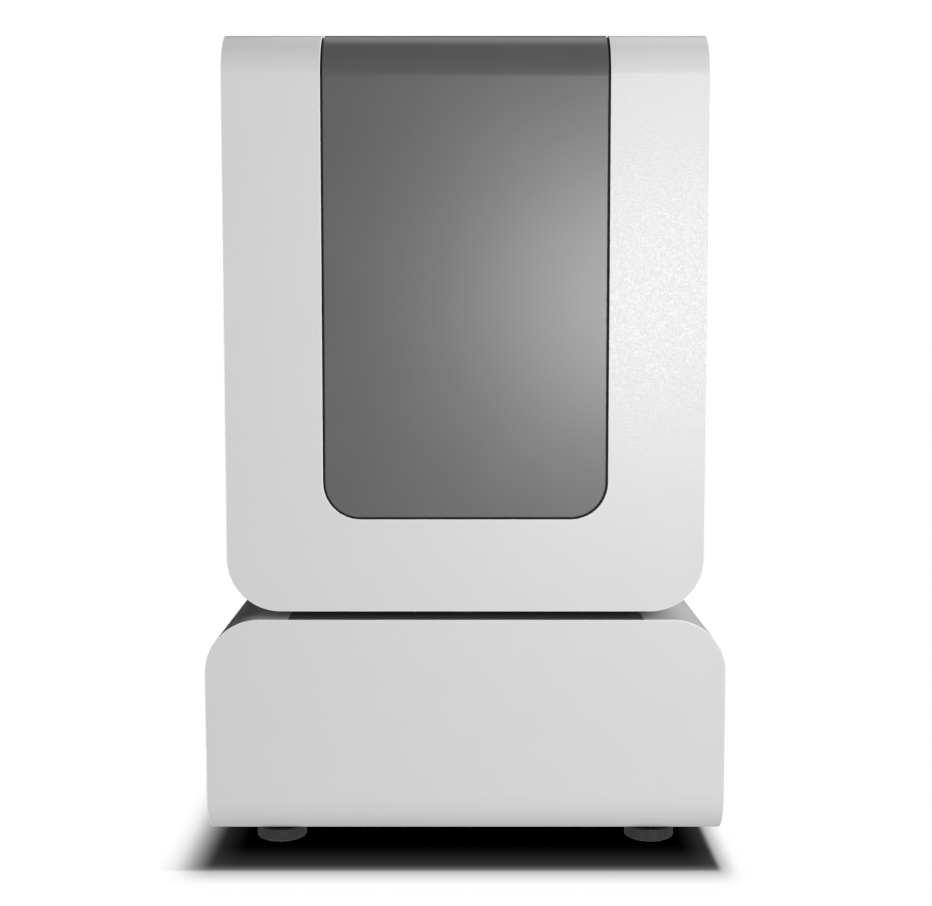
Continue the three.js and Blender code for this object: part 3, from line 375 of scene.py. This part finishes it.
def molybdenum_silicide():
    scale_size = 2.5 * MM
    material = new_material("molybdenum_silicide", grey(0.1), roughness=0.42, metallic=0.7)
    scale = object_noise(material, scale_size, detail=4)
    vary_color(material, scale, grey(0.06, warmth=0.04), grey(0.16, warmth=0.02))
    vary_roughness(material, scale, 0.3, 0.6)
    return material


def wound_transformer():
    windings_size = 1.1 * MM
    windings_height = 0.2 * MM
    material = new_material("wound_transformer", (0.24, 0.12, 0.05), roughness=0.4)
    windings = object_noise(material, windings_size, detail=1, stretch=(0.02, 0.02, 1))
    vary_color(material, windings, (0.16, 0.07, 0.03), (0.34, 0.18, 0.08))
    add_bump(material, windings, windings_height)
    return material


def circuit_board():
    tracks_size = 2 * MM
    material = new_material("circuit_board", (0.012, 0.1, 0.045), roughness=0.35)
    tracks = object_noise(material, tracks_size, detail=2, stretch=(1, 0.12, 1))
    vary_color(material, tracks, (0.008, 0.07, 0.03), (0.02, 0.15, 0.07))
    return material


def display_glass():
    smudges_size = 18 * MM
    material = new_material("display_glass", grey(0.008), roughness=0.08)
    smudges = object_noise(material, smudges_size, detail=3)
    vary_roughness(material, smudges, 0.06, 0.14)
    return material


def black_plastic():
    grain_size = 0.5 * MM
    grain_height = 0.02 * MM
    material = new_material("black_plastic", grey(0.014), roughness=0.5)
    grain = object_noise(material, grain_size, detail=2)
    vary_roughness(material, grain, 0.42, 0.6)
    add_bump(material, grain, grain_height, strength=0.4)
    return material


def black_oxide_steel():
    wear_size = 8 * MM
    material = new_material("black_oxide_steel", grey(0.04), roughness=0.32, metallic=0.6)
    wear = object_noise(material, wear_size, detail=1)
    vary_color(material, wear, grey(0.036), grey(0.044))
    vary_roughness(material, wear, 0.27, 0.35)
    return material


def black_rubber():
    dust_size = 1.5 * MM
    dust_height = 0.04 * MM
    material = new_material("black_rubber", grey(0.01), roughness=0.8)
    dust = object_noise(material, dust_size, detail=3)
    vary_color(material, dust, grey(0.008), grey(0.02))
    add_bump(material, dust, dust_height, strength=0.5)
    return material


SLOT_MATERIALS = {
    "white_cover": white_powder_coat(),
    "dark_panel": dark_satin_panel(),
    "dark_sheet": dark_powder_coat(),
    "black_sheet": reveal_painted_shadow(),
    "zinc_sheet": zinc_sheet(),
    "stainless": brushed_stainless(),
    "ground_steel": ground_steel(),
    "bare_aluminium": milled_aluminium(),
    "bronze": bearing_bronze(),
    "fibre": ceramic_fibre(),
    "alumina": alumina_ceramic(),
    "silicide": molybdenum_silicide(),
    "transformer": wound_transformer(),
    "circuit": circuit_board(),
    "display": display_glass(),
    "black_plastic": black_plastic(),
    "black_metal": black_oxide_steel(),
    "rubber": black_rubber(),
}
# The white covers' cut edges take a lighter coat, a painted highlight.
EDGE_MATERIALS = {"white_cover": edge_coat_painted_highlight()}


# Meshes
def mesh_object(name, bm, slot, body):
    """A piece from mesh code that rides on a body, with a second material for its cut edges, which on the white
    covers is a lighter coat that paints a highlight.
    """
    bmesh.ops.recalc_face_normals(bm, faces=bm.faces)
    mesh = bpy.data.meshes.new(name)
    bm.to_mesh(mesh)
    bm.free()
    mesh.materials.append(SLOT_MATERIALS[slot])
    mesh.materials.append(EDGE_MATERIALS.get(slot, SLOT_MATERIALS[slot]))
    piece = bpy.data.objects.new(name, mesh)
    scene.collection.objects.link(piece)
    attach(piece, body)
    return piece


def smooth(piece):
    """Rounds the shading and keeps flat faces flat."""
    for polygon in piece.data.polygons:
        polygon.use_smooth = True
    weigh = piece.modifiers.new("flat_faces", "WEIGHTED_NORMAL")
    weigh.keep_sharp = True
    weigh.weight = FACE_WEIGHT


def rounded(corners):
    """Points of an outline whose corners are (u, v) or (u, v, radius)."""
    points = []
    for i, corner in enumerate(corners):
        here = Vector(corner[:2])
        radius = corner[2] if len(corner) > 2 else 0
        if not radius:
            points.append(here)
            continue
        back = (Vector(corners[i - 1][:2]) - here).normalized()
        ahead = (Vector(corners[(i + 1) % len(corners)][:2]) - here).normalized()
        half = back.angle(ahead) / 2
        center = here + (back + ahead).normalized() * radius / math.sin(half)
        start = here + back * radius / math.tan(half) - center
        end = here + ahead * radius / math.tan(half) - center
        turn = start.angle_signed(end)
        for step in range(CORNER_STEPS + 1):
            points.append(center + Matrix.Rotation(-turn * step / CORNER_STEPS, 2) @ start)
    return points


class BentLine:
    """Straight runs and quarter bends in a plane. A sheet's depth is on the inside of the bends."""

    def __init__(self, start, heading, inside):
        self.point = Vector(start)
        self.heading = Vector(heading)
        self.inside = Vector(inside)
        self.length = 0.0
        self.runs = []
        self.marks = []

    def start_run(self, radius):
        """Notes where a run starts. A straight run has no radius."""
        place = (self.point.copy(), self.heading.copy(), self.inside.copy())
        self.runs.append((self.length, radius, *place))

    def straight(self, length):
        self.start_run(None)
        self.point = self.point + self.heading * length
        self.length += length
        return self

    def bend(self, radius):
        self.start_run(radius)
        quarter = radius * math.pi / 2
        self.marks += [self.length + quarter * i / BEND_STEPS for i in range(BEND_STEPS + 1)]
        self.point = self.point + (self.heading + self.inside) * radius
        self.heading, self.inside = self.inside, -self.heading
        self.length += quarter
        return self

    def at(self, distance, depth):
        """The point at a distance along the outside and a depth into the sheet."""
        passed = [run for run in self.runs if run[0] <= distance]
        start, radius, point, heading, inside = passed[-1] if passed else self.runs[0]
        if radius is None:
            return point + heading * (distance - start) + inside * depth
        angle = (distance - start) / radius
        arm = radius - depth
        center = point + inside * radius
        return center + heading * arm * math.sin(angle) - inside * arm * math.cos(angle)


def circle(center, radius):
    turns = [2 * math.pi * i / CIRCLE_STEPS for i in range(CIRCLE_STEPS)]
    return [Vector(center) + Vector((math.cos(turn), math.sin(turn))) * radius for turn in turns]


def flat_faces(bm, loops):
    """Flat faces inside the first loop and outside the others."""
    points = []
    rings = []
    for loop in loops:
        rings.append(list(range(len(points), len(points) + len(loop))))
        points += loop
    with_holes = 5
    corners, _, faces, *_ = delaunay_2d_cdt(points, [], rings, with_holes, TINY)
    vertices = [bm.verts.new((*corner, 0)) for corner in corners]
    for face in faces:
        bm.faces.new([vertices[i] for i in face])


def raise_faces(bm, faces, height):
    """Gives flat faces a thickness."""
    raised = bmesh.ops.extrude_face_region(bm, geom=faces)
    for part in raised["geom"]:
        if isinstance(part, bmesh.types.BMVert):
            part.co.z += height


def bent_sheet(name, corners, line, place, slot, body, holes=()):
    """A flat sheet cut to an outline of (across, along), with rounded edges, bent along a line."""
    bm = bmesh.new()
    flat_faces(bm, [rounded(corners), *holes])
    for mark in line.marks:
        everything = bm.verts[:] + bm.edges[:] + bm.faces[:]
        bmesh.ops.bisect_plane(bm, geom=everything, plane_co=(0, mark, 0), plane_no=(0, 1, 0))
    raise_faces(bm, bm.faces[:], SHEET)
    bmesh.ops.recalc_face_normals(bm, faces=bm.faces)
    rim = [e for e in bm.edges if e.calc_face_angle(0) > RIM_ANGLE]
    bmesh.ops.bevel(
        bm, geom=rim, offset=CUT_EDGE, segments=EDGE_STEPS, profile=ROUND_PROFILE, affect="EDGES"
    )
    bm.normal_update()
    # Faces on the rounded rims take the second material, which paints a highlight on white covers.
    for face in bm.faces:
        on_edge = abs(face.normal.z) < FLAT_ENOUGH
        face.material_index = int(on_edge)
    for vertex in bm.verts:
        across, along, depth = vertex.co
        vertex.co = place(across, line.at(along, depth))
    piece = mesh_object(name, bm, slot, body)
    smooth(piece)
    return piece


def front_place(across, point):
    return Vector((across, point.x, point.y))


def side_place(across, point):
    return Vector((point.x, across, point.y))


# Sizes that the covers share with the frame
front_low, front_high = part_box("hood_front_panel")
hood_half = front_high.x
hood_bottom = front_low.z
hood_top = front_high.z
front_y = front_low.y
rear_y = front_high.y
base_low, base_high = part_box("base_front_panel")
base_half = base_high.x
base_bottom = base_low.z
deck_top = base_high.z
lip_y = base_high.y
panel_low, panel_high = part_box("hood_center_panel")
deck_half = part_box("base_deck_plate")[1].x


def middle(node):
    low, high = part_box(node)
    return (low + high) / 2


# Hood
def hood_wrap():
    line = BentLine((front_y, hood_bottom), (0, 1), (1, 0))
    line.straight(hood_top - hood_bottom - BEND).bend(BEND)
    line.straight(rear_y - front_y - 2 * BEND).bend(BEND)
    return line.straight(REAR_RETURN)


def hood_front():
    line = hood_wrap()
    end = line.length
    slot = panel_high.x + REVEAL
    slot_start = panel_low.z - REVEAL - hood_bottom
    corners = [
        (-hood_half, 0, CORNER),
        (hood_half, 0, CORNER),
        (hood_half, end),
        (slot, end),
        (slot, slot_start, SLOT_CORNER + REVEAL),
        (-slot, slot_start, SLOT_CORNER + REVEAL),
        (-slot, end),
        (-hood_half, end),
    ]
    piece = bent_sheet("front_cover", corners, line, front_place, "white_cover", "hood")
    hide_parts("hood_front_panel")


def hood_center():
    line = hood_wrap()
    half = panel_high.x
    start = panel_low.z - hood_bottom
    corners = [
        (-half, start, SLOT_CORNER),
        (half, start, SLOT_CORNER),
        (half, line.length),
        (-half, line.length),
    ]
    piece = bent_sheet("center_strip", corners, line, front_place, "dark_panel", "hood")
    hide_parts("hood_center_panel")


def hood_side(side, word):
    node = "hood_side_cover_" + word
    low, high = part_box(node)
    line = BentLine((side * hood_half, high.z), (0, -1), (-side, 0))
    line.straight(high.z - low.z - CORNER).bend(CORNER)
    line.straight(hood_half - CORNER - deck_half - SEAM)
    radius = BEND - SHEET - SEAM
    corners = [
        (low.y, 0, radius),
        (high.y, 0, radius),
        (high.y, line.length),
        (low.y, line.length),
    ]
    piece = bent_sheet("hood_side_" + word, corners, line, side_place, "white_cover", "hood")
    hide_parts(node)


# Base
def base_front():
    line = BentLine((front_y, deck_top), (0, -1), (1, 0))
    line.straight(deck_top - base_bottom - BEND).bend(BEND).straight(LIP_FLAT)
    corners = [
        (-base_half, 0, CORNER),
        (base_half, 0, CORNER),
        (base_half, line.length),
        (-base_half, line.length),
    ]
    holes = []
    for side in ("left", "right"):
        center = middle("foot_pad_front_" + side)
        along = line.length - (lip_y - center.y)
        holes.append(circle((center.x, along), COLLAR_HOLE))
    piece = bent_sheet("base_front", corners, line, front_place, "white_cover", "base", holes)
    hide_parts("base_front_panel")


def base_side(side, word):
    node = "base_side_cover_" + word
    low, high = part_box(node)
    line = BentLine((side * base_half, base_bottom), (0, 1), (-side, 0))
    line.straight(deck_top - base_bottom - CORNER).bend(CORNER)
    line.straight(base_half - CORNER - deck_half - SEAM)
    lip_top = SHEET + SEAM
    corners = [
        (low.y, line.length),
        (low.y, lip_top, BEND - SHEET - SEAM),
        (lip_y + SEAM, lip_top),
        (lip_y + SEAM, 0),
        (high.y, 0),
        (high.y, line.length),
    ]
    piece = bent_sheet("base_side_" + word, corners, line, side_place, "white_cover", "base")
    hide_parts(node)


# Turned shapes
def join_rings(bm, rings):
    """Faces from ring to ring, closed at both ends."""
    for first, second in zip(rings, rings[1:]):
        for i in range(len(first)):
            j = (i + 1) % len(first)
            bm.faces.new((first[i], first[j], second[j], second[i]))
    bm.faces.new(rings[0])
    bm.faces.new(rings[-1])


def turned_rings(bm, center, profile, columns, radius_at):
    """Joined rings about an upright axis. A step of the profile starts with radius and height."""
    rings = []
    for step in profile:
        ring = []
        for column in range(columns):
            turn = 2 * math.pi * column / columns
            radius = radius_at(step, column)
            place = Vector((radius * math.cos(turn), radius * math.sin(turn), step[1]))
            ring.append(bm.verts.new(Vector((*center, 0)) + place))
        rings.append(ring)
    join_rings(bm, rings)


def plain_radius(step, column):
    """A round ring has the same radius at every column."""
    return step[0]


# Levelling feet
def knurled_radius(step, column):
    """Steps marked as knurled have V-shaped ribs."""
    radius, _, knurled = step
    half = RIB_COLUMNS / 2
    return radius - knurled * RIB_DEPTH * abs(column % RIB_COLUMNS - half) / half


def threaded_radius(step, column):
    """The thread's wave climbs one pitch in a turn."""
    radius, z = step
    wave = (z / THREAD_PITCH - column / THREAD_COLUMNS) % 1
    half = 1 / 2
    return radius - THREAD_DEPTH * abs(wave - half) / half


def thread(bm, center, start, end):
    """A screw thread that runs up a stud."""
    count = math.ceil((end - start) / THREAD_PITCH * THREAD_STEPS)
    steps = [(STUD_RADIUS, start + (end - start) * i / count) for i in range(count + 1)]
    turned_rings(bm, center, steps, THREAD_COLUMNS, threaded_radius)


def levelling_foot(corner):
    low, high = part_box("foot_disc_" + corner)
    center = middle("foot_disc_" + corner).xy
    rim = high.x - center.x
    root = rim - RIB_DEPTH
    shoulder = low.z + DISC_HEIGHT
    collar_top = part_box("base_chassis_tray")[0].z - SEAT
    small = DISC_CHAMFER / 2
    bm = bmesh.new()
    disc = [
        (root - DISC_CHAMFER, low.z, 0),
        (root, low.z + small, 0),
        (rim, low.z + DISC_CHAMFER, 1),
        (rim, shoulder - DISC_CHAMFER, 1),
        (root, shoulder - small, 0),
        (root - DISC_CHAMFER, shoulder, 0),
        (COLLAR_RADIUS + small, shoulder, 0),
        (COLLAR_RADIUS, shoulder + small, 0),
        (COLLAR_RADIUS, collar_top - small, 0),
        (COLLAR_RADIUS - small, collar_top, 0),
    ]
    turned_rings(bm, center, disc, RIBS * RIB_COLUMNS, knurled_radius)
    thread(bm, center, collar_top - small, high.z)
    piece = mesh_object("knurled_disc_" + corner, bm, "black_metal", "disc_" + corner)
    smooth(piece)
    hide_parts("foot_disc_" + corner)


def rubber_pad(corner):
    node = "foot_pad_" + corner
    low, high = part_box(node)
    center = middle(node).xy
    radius = high.x - center.x
    bm = bmesh.new()
    edge = [
        (radius - PAD_EDGE, low.z),
        (radius, low.z + PAD_EDGE),
        (radius, high.z - PAD_EDGE),
        (radius - PAD_EDGE, high.z),
    ]
    turned_rings(bm, center, edge, PAD_COLUMNS, plain_radius)
    piece = mesh_object("rubber_pad_" + corner, bm, "rubber", "pad_" + corner)
    smooth(piece)
    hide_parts(node)


# Screws
def socket_radius(step, column):
    """Steps marked as the socket are a hexagon, and the others are round."""
    radius, _, hexagon = step
    sixth = math.pi / 3
    turn = 2 * math.pi * column / SCREW_COLUMNS % sixth - sixth / 2
    return radius / math.cos(turn) if hexagon else radius


def screws(name, spots, outward, body):
    """Button heads with hex sockets, standing on a plate."""
    rim = SOCKET_FLAT + 2 * SOCKET_CHAMFER
    profile = [(x * SCREW_RADIUS, z * SCREW_HEIGHT, 0) for x, z in DOME_SHARES]
    profile += [
        (rim, SCREW_HEIGHT, 0),
        (SOCKET_FLAT, SCREW_HEIGHT - SOCKET_CHAMFER, 1),
        (SOCKET_FLAT, SCREW_HEIGHT - SOCKET_DEPTH, 1),
    ]
    bm = bmesh.new()
    turned = Vector(outward).to_track_quat("Z", "X").to_matrix().to_4x4()
    for spot in spots:
        made = len(bm.verts)
        turned_rings(bm, (0, 0), profile, SCREW_COLUMNS, socket_radius)
        bmesh.ops.transform(bm, matrix=Matrix.Translation(spot) @ turned, verts=bm.verts[:][made:])
    smooth(mesh_object(name, bm, "stainless", body))


def rear_screws(name, node, low_z, high_z, body):
    """Screws down both sides of a rear panel and along its lower edge."""
    low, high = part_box(node)
    x = high.x - SCREW_INSET
    lower_x = x * LOWER_SCREW_SHARE
    heights = [low_z, (low_z + high_z) / 2, high_z]
    spots = [(side * x, high.y, z) for side in (-1, 1) for z in heights]
    spots += [(side * lower_x, high.y, low.z + SCREW_INSET) for side in (-1, 1)]
    screws(name, spots, (0, 1, 0), body)


def all_screws():
    hood_low_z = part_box("hood_rear_panel")[0].z + CORNER
    hood_high_z = hood_top - BEND - REAR_RETURN - SCREW_INSET
    rear_screws("hood_rear_screws", "hood_rear_panel", hood_low_z, hood_high_z, "hood")
    low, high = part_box("base_rear_panel")
    rear_screws("base_rear_screws", "base_rear_panel", low.z + SCREW_INSET, high.z - CORNER, "base")
    fan_low, fan_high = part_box("fan_frame")
    fan_x = (fan_low.x + FAN_SCREW_INSET, fan_high.x - FAN_SCREW_INSET)
    fan_z = (fan_low.z + FAN_SCREW_INSET, fan_high.z - FAN_SCREW_INSET)
    screws("fan_screws", [(x, high.y, z) for x in fan_x for z in fan_z], (0, 1, 0), "base")
    side_x = deck_half - SCREW_INSET
    places = [(side * side_x, step * DECK_SCREW_REACH) for side in (-1, 1) for step in (-1, 0, 1)]
    deck_spots = [(*place, deck_top) for place in places]
    screws("deck_screws", deck_spots, (0, 0, 1), "base")
    floor_spots = [(*place, hood_bottom) for place in places]
    screws("hood_floor_screws", floor_spots, (0, 0, -1), "hood")


# Mains rocker
def rocker_marks():
    """A stroke on the upper half of the rocker and a ring on the lower half."""
    tilt = next(joint for joint in frame["joints"] if joint["name"] == "rocker_tilt")
    tilted = Matrix.Translation(Vector(tilt["pos_m"])) @ Matrix.Rotation(ROCKER_TILT, 4, "X")
    slope = math.atan2(ROCKER_RIDGE / 2, ROCKER_REACH)
    face_height = ROCKER_RIDGE * 3 / 4
    half = MARK_STROKE / 2
    stroke = [(-half, -MARK_HALF), (half, -MARK_HALF), (half, MARK_HALF), (-half, MARK_HALF)]
    ring = [circle((0, 0), MARK_HALF), circle((0, 0), MARK_HALF - MARK_STROKE)]
    bm = bmesh.new()
    for side, loops in ((1, [rounded(stroke)]), (-1, ring)):
        made = len(bm.verts)
        faces = len(bm.faces)
        flat_faces(bm, loops)
        bm.faces.ensure_lookup_table()
        raise_faces(bm, bm.faces[:][faces:], MARK_HEIGHT)
        center = Matrix.Translation((0, face_height, side * ROCKER_REACH / 2))
        face = Matrix.Rotation(side * slope - math.pi / 2, 4, "X")
        bmesh.ops.transform(bm, matrix=tilted @ center @ face, verts=bm.verts[:][made:])
    mesh_object("rocker_marks", bm, "white_cover", "switch_rocker")


# Heating elements
def hairpin_steps(low_z, high_z, roof):
    """Place across, height, direction and radius of the bar, down one leg and up the other."""
    bend_z = low_z + ELEMENT_RADIUS + ELEMENT_HALF
    leg = [
        (high_z, TERMINAL_RADIUS - TERMINAL_EDGE),
        (high_z - TERMINAL_EDGE, TERMINAL_RADIUS),
        (roof + TERMINAL_CONE, TERMINAL_RADIUS),
        (roof, ELEMENT_RADIUS),
        (bend_z, ELEMENT_RADIUS),
    ]
    steps = [(-ELEMENT_HALF, z, 0, radius) for z, radius in leg]
    for i in range(1, ELEMENT_STEPS):
        turn = math.pi * i / ELEMENT_STEPS
        across = -ELEMENT_HALF * math.cos(turn)
        steps.append((across, bend_z - ELEMENT_HALF * math.sin(turn), turn, ELEMENT_RADIUS))
    return steps + [(ELEMENT_HALF, z, math.pi, radius) for z, radius in reversed(leg)]


def hairpin(number):
    """Two thick cold ends, two thin legs and the bend between them, as one bar."""
    node = "heating_element_%d" % number
    low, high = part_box(node)
    axis = middle("chamber_roof").xy
    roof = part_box("chamber_roof")[0].z
    bm = bmesh.new()
    rings = []
    for across, z, turn, radius in hairpin_steps(low.z, high.z, roof):
        outward = Vector((-math.cos(turn), 0, -math.sin(turn)))
        ring = []
        for column in range(ELEMENT_COLUMNS):
            angle = 2 * math.pi * column / ELEMENT_COLUMNS
            offset = (outward * math.cos(angle) + Vector((0, 1, 0)) * math.sin(angle)) * radius
            ring.append(bm.verts.new(Vector((across, -ELEMENT_PLANE, z)) + offset))
        rings.append(ring)
    join_rings(bm, rings)
    quarter = Matrix.Rotation(math.pi / 2 + 2 * math.pi * (number - 1) / ELEMENT_COUNT, 4, "Z")
    place = Matrix.Translation((*axis, 0)) @ quarter
    bmesh.ops.transform(bm, matrix=place, verts=bm.verts[:])
    piece = mesh_object("hairpin_%d" % number, bm, "silicide", "hood")
    smooth(piece)
    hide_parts(node)


# Everything that keeps its solid
def smooth_by_angle():
    """A modifier's tree that shades smoothly across every edge but the sharp ones."""
    tree = bpy.data.node_groups.new("smooth_by_angle", "GeometryNodeTree")
    for way in ("INPUT", "OUTPUT"):
        tree.interface.new_socket("Geometry", in_out=way, socket_type="NodeSocketGeometry")
    start = tree.nodes.new("NodeGroupInput")
    faces = tree.nodes.new("GeometryNodeSetShadeSmooth")
    edges = tree.nodes.new("GeometryNodeSetShadeSmooth")
    end = tree.nodes.new("NodeGroupOutput")
    edges.domain = "EDGE"
    edges.inputs["Shade Smooth"].default_value = False
    angle = tree.nodes.new("GeometryNodeInputMeshEdgeAngle")
    sharp = tree.nodes.new("FunctionNodeCompare")
    sharp.operation = "GREATER_THAN"
    sharp.inputs["B"].default_value = SHARP
    tree.links.new(angle.outputs["Unsigned Angle"], sharp.inputs["A"])
    tree.links.new(sharp.outputs["Result"], edges.inputs["Selection"])
    tree.links.new(start.outputs["Geometry"], faces.inputs["Geometry"])
    tree.links.new(faces.outputs["Geometry"], edges.inputs["Geometry"])
    tree.links.new(edges.outputs["Geometry"], end.inputs["Geometry"])
    return tree


def soften(node, shading):
    """Rounds a solid's edges without touching its mesh."""
    weld = node.modifiers.new("one_corner", "WELD")
    weld.merge_threshold = MERGED
    plain = node.modifiers.new("flat_faces", "DECIMATE")
    plain.decimate_type = "DISSOLVE"
    plain.angle_limit = SAME_PLANE
    edge = node.modifiers.new("round_edges", "BEVEL")
    edge.width = SOLID_EDGE
    edge.segments = SOLID_EDGE_STEPS
    edge.limit_method = "ANGLE"
    edge.angle_limit = SHARP
    node.modifiers.new("smooth_by_angle", "NODES").node_group = shading
    node.modifiers.new("even_faces", "WEIGHTED_NORMAL").keep_sharp = True


def dress_solids():
    slots = {s["node"]: s["material_slot"] for s in frame["record"]["subparts"]}
    shading = smooth_by_angle()
    for name, node in frame["nodes"].items():
        node.data.materials.clear()
        node.data.materials.append(SLOT_MATERIALS[slots[name]])
        soften(node, shading)


# Studio
def softbox(name, place, target, width, height, power, mirrored):
    """A soft lamp that the camera doesn't see."""
    light = bpy.data.lights.new(name, "AREA")
    light.shape = "RECTANGLE"
    light.size = width
    light.size_y = height
    light.energy = power
    lamp = bpy.data.objects.new(name, light)
    lamp.visible_camera = False
    lamp.visible_glossy = mirrored
    lamp.location = place
    lamp.rotation_euler = (Vector(target) - Vector(place)).to_track_quat("-Z", "Y").to_euler()
    scene.collection.objects.link(lamp)
    return light


def backdrop():
    """A white room for the camera, and a dim one for the light that falls on the object."""
    world = bpy.data.worlds.new("studio")
    world.use_nodes = True
    tree = world.node_tree
    seen = tree.nodes["Background"]
    seen.inputs["Strength"].default_value = ROOM_SEEN
    seen.inputs["Color"].default_value = WHITE
    felt = tree.nodes.new("ShaderNodeBackground")
    felt.inputs["Color"].default_value = WHITE
    felt.inputs["Strength"].default_value = ROOM_LIGHT
    rays = tree.nodes.new("ShaderNodeLightPath")
    choose = tree.nodes.new("ShaderNodeMixShader")
    tree.links.new(rays.outputs["Is Camera Ray"], choose.inputs["Fac"])
    tree.links.new(felt.outputs["Background"], choose.inputs[1])
    tree.links.new(seen.outputs["Background"], choose.inputs[2])
    tree.links.new(choose.outputs["Shader"], tree.nodes["World Output"].inputs["Surface"])
    scene.world = world
    scene.view_settings.view_transform = "Standard"


def ramp(tree, coordinate, start, full):
    """Runs smoothly from 0 to 1 between two places."""
    step = tree.nodes.new("ShaderNodeMapRange")
    step.interpolation_type = "SMOOTHSTEP"
    step.inputs["From Min"].default_value = start
    step.inputs["From Max"].default_value = full
    tree.links.new(coordinate, step.inputs["Value"])
    return step.outputs["Result"]


def multiply(tree, values):
    product = values[0]
    for value in values[1:]:
        node = tree.nodes.new("ShaderNodeMath")
        node.operation = "MULTIPLY"
        tree.links.new(product, node.inputs[0])
        tree.links.new(value, node.inputs[1])
        product = node.outputs[0]
    return product


def floor_with_painted_shadow():
    """A floor as white as the room, with the base's shadow painted into its glow."""
    material = new_material("floor_with_painted_shadow", grey(0), roughness=1.0)
    tree = material.node_tree
    shader = surface(material)
    shader.inputs["Specular IOR Level"].default_value = 0
    shader.inputs["Emission Color"].default_value = WHITE
    place = tree.nodes.new("ShaderNodeTexCoord")
    axes = tree.nodes.new("ShaderNodeSeparateXYZ")
    tree.links.new(place.outputs["Object"], axes.inputs["Vector"])
    x = axes.outputs["X"]
    y = axes.outputs["Y"]
    rear = ramp(tree, y, *SHADE_REAR)
    light = None
    # Each layer lowers the glow in a soft box round the base, a painted shadow.
    for dark, left, right, front in SHADE_LAYERS:
        sides = [ramp(tree, x, *left), ramp(tree, x, *right), ramp(tree, y, *front), rear]
        shade = multiply(tree, sides)
        less = tree.nodes.new("ShaderNodeMath")
        less.operation = "MULTIPLY_ADD"
        less.inputs[1].default_value = -dark
        less.inputs[2].default_value = 1
        tree.links.new(shade, less.inputs[0])
        if light:
            tree.links.new(light, less.inputs[2])
        light = less.outputs[0]
    tree.links.new(light, shader.inputs["Emission Strength"])
    return material


def studio_floor():
    bm = bmesh.new()
    bmesh.ops.create_grid(bm, x_segments=1, y_segments=1, size=FLOOR_SIZE)
    mesh = bpy.data.meshes.new("floor")
    bm.to_mesh(mesh)
    bm.free()
    mesh.materials.append(floor_with_painted_shadow())
    floor = bpy.data.objects.new("floor", mesh)
    scene.collection.objects.link(floor)
    floor.visible_diffuse = False
    floor.visible_glossy = False


def level_beam(name, low, high, power):
    """A band of light on the left side that leaves the base's shoulder dark."""
    middle_z = (low + high) / 2
    place = (BEAM_X, 0, middle_z)
    target = (0, 0, middle_z)
    beam = softbox(name, place, target, BEAM_WIDTH, high - low, power, mirrored=False)
    beam.spread = BEAM_SPREAD


def studio():
    """The floor is lit for the camera alone, so one of the object's lamps is a white card on it."""
    backdrop()
    studio_floor()
    for name, lamp in LAMPS.items():
        softbox(name, *lamp)
    for name, beam in BEAMS.items():
        level_beam(name, *beam)


def camera():
    data = bpy.data.cameras.new("camera")
    data.sensor_width = SENSOR
    data.lens = FOCAL_PIXELS * SENSOR / PICTURE_WIDTH
    data.shift_x = SHIFT_PIXELS / PICTURE_WIDTH
    eye = bpy.data.objects.new("camera", data)
    eye.location = (0, front_y - CAMERA_DISTANCE, CAMERA_HEIGHT)
    eye.rotation_euler = (math.pi / 2 - CAMERA_PITCH, 0, 0)
    scene.collection.objects.link(eye)
    scene.camera = eye


dress_solids()
hood_front()
hood_center()
hood_side(-1, "left")
hood_side(1, "right")
base_front()
base_side(-1, "left")
base_side(1, "right")
for corner in ("front_left", "front_right", "rear_left", "rear_right"):
    levelling_foot(corner)
    rubber_pad(corner)
all_screws()
rocker_marks()
for number in range(1, ELEMENT_COUNT + 1):
    hairpin(number)
studio()
camera()
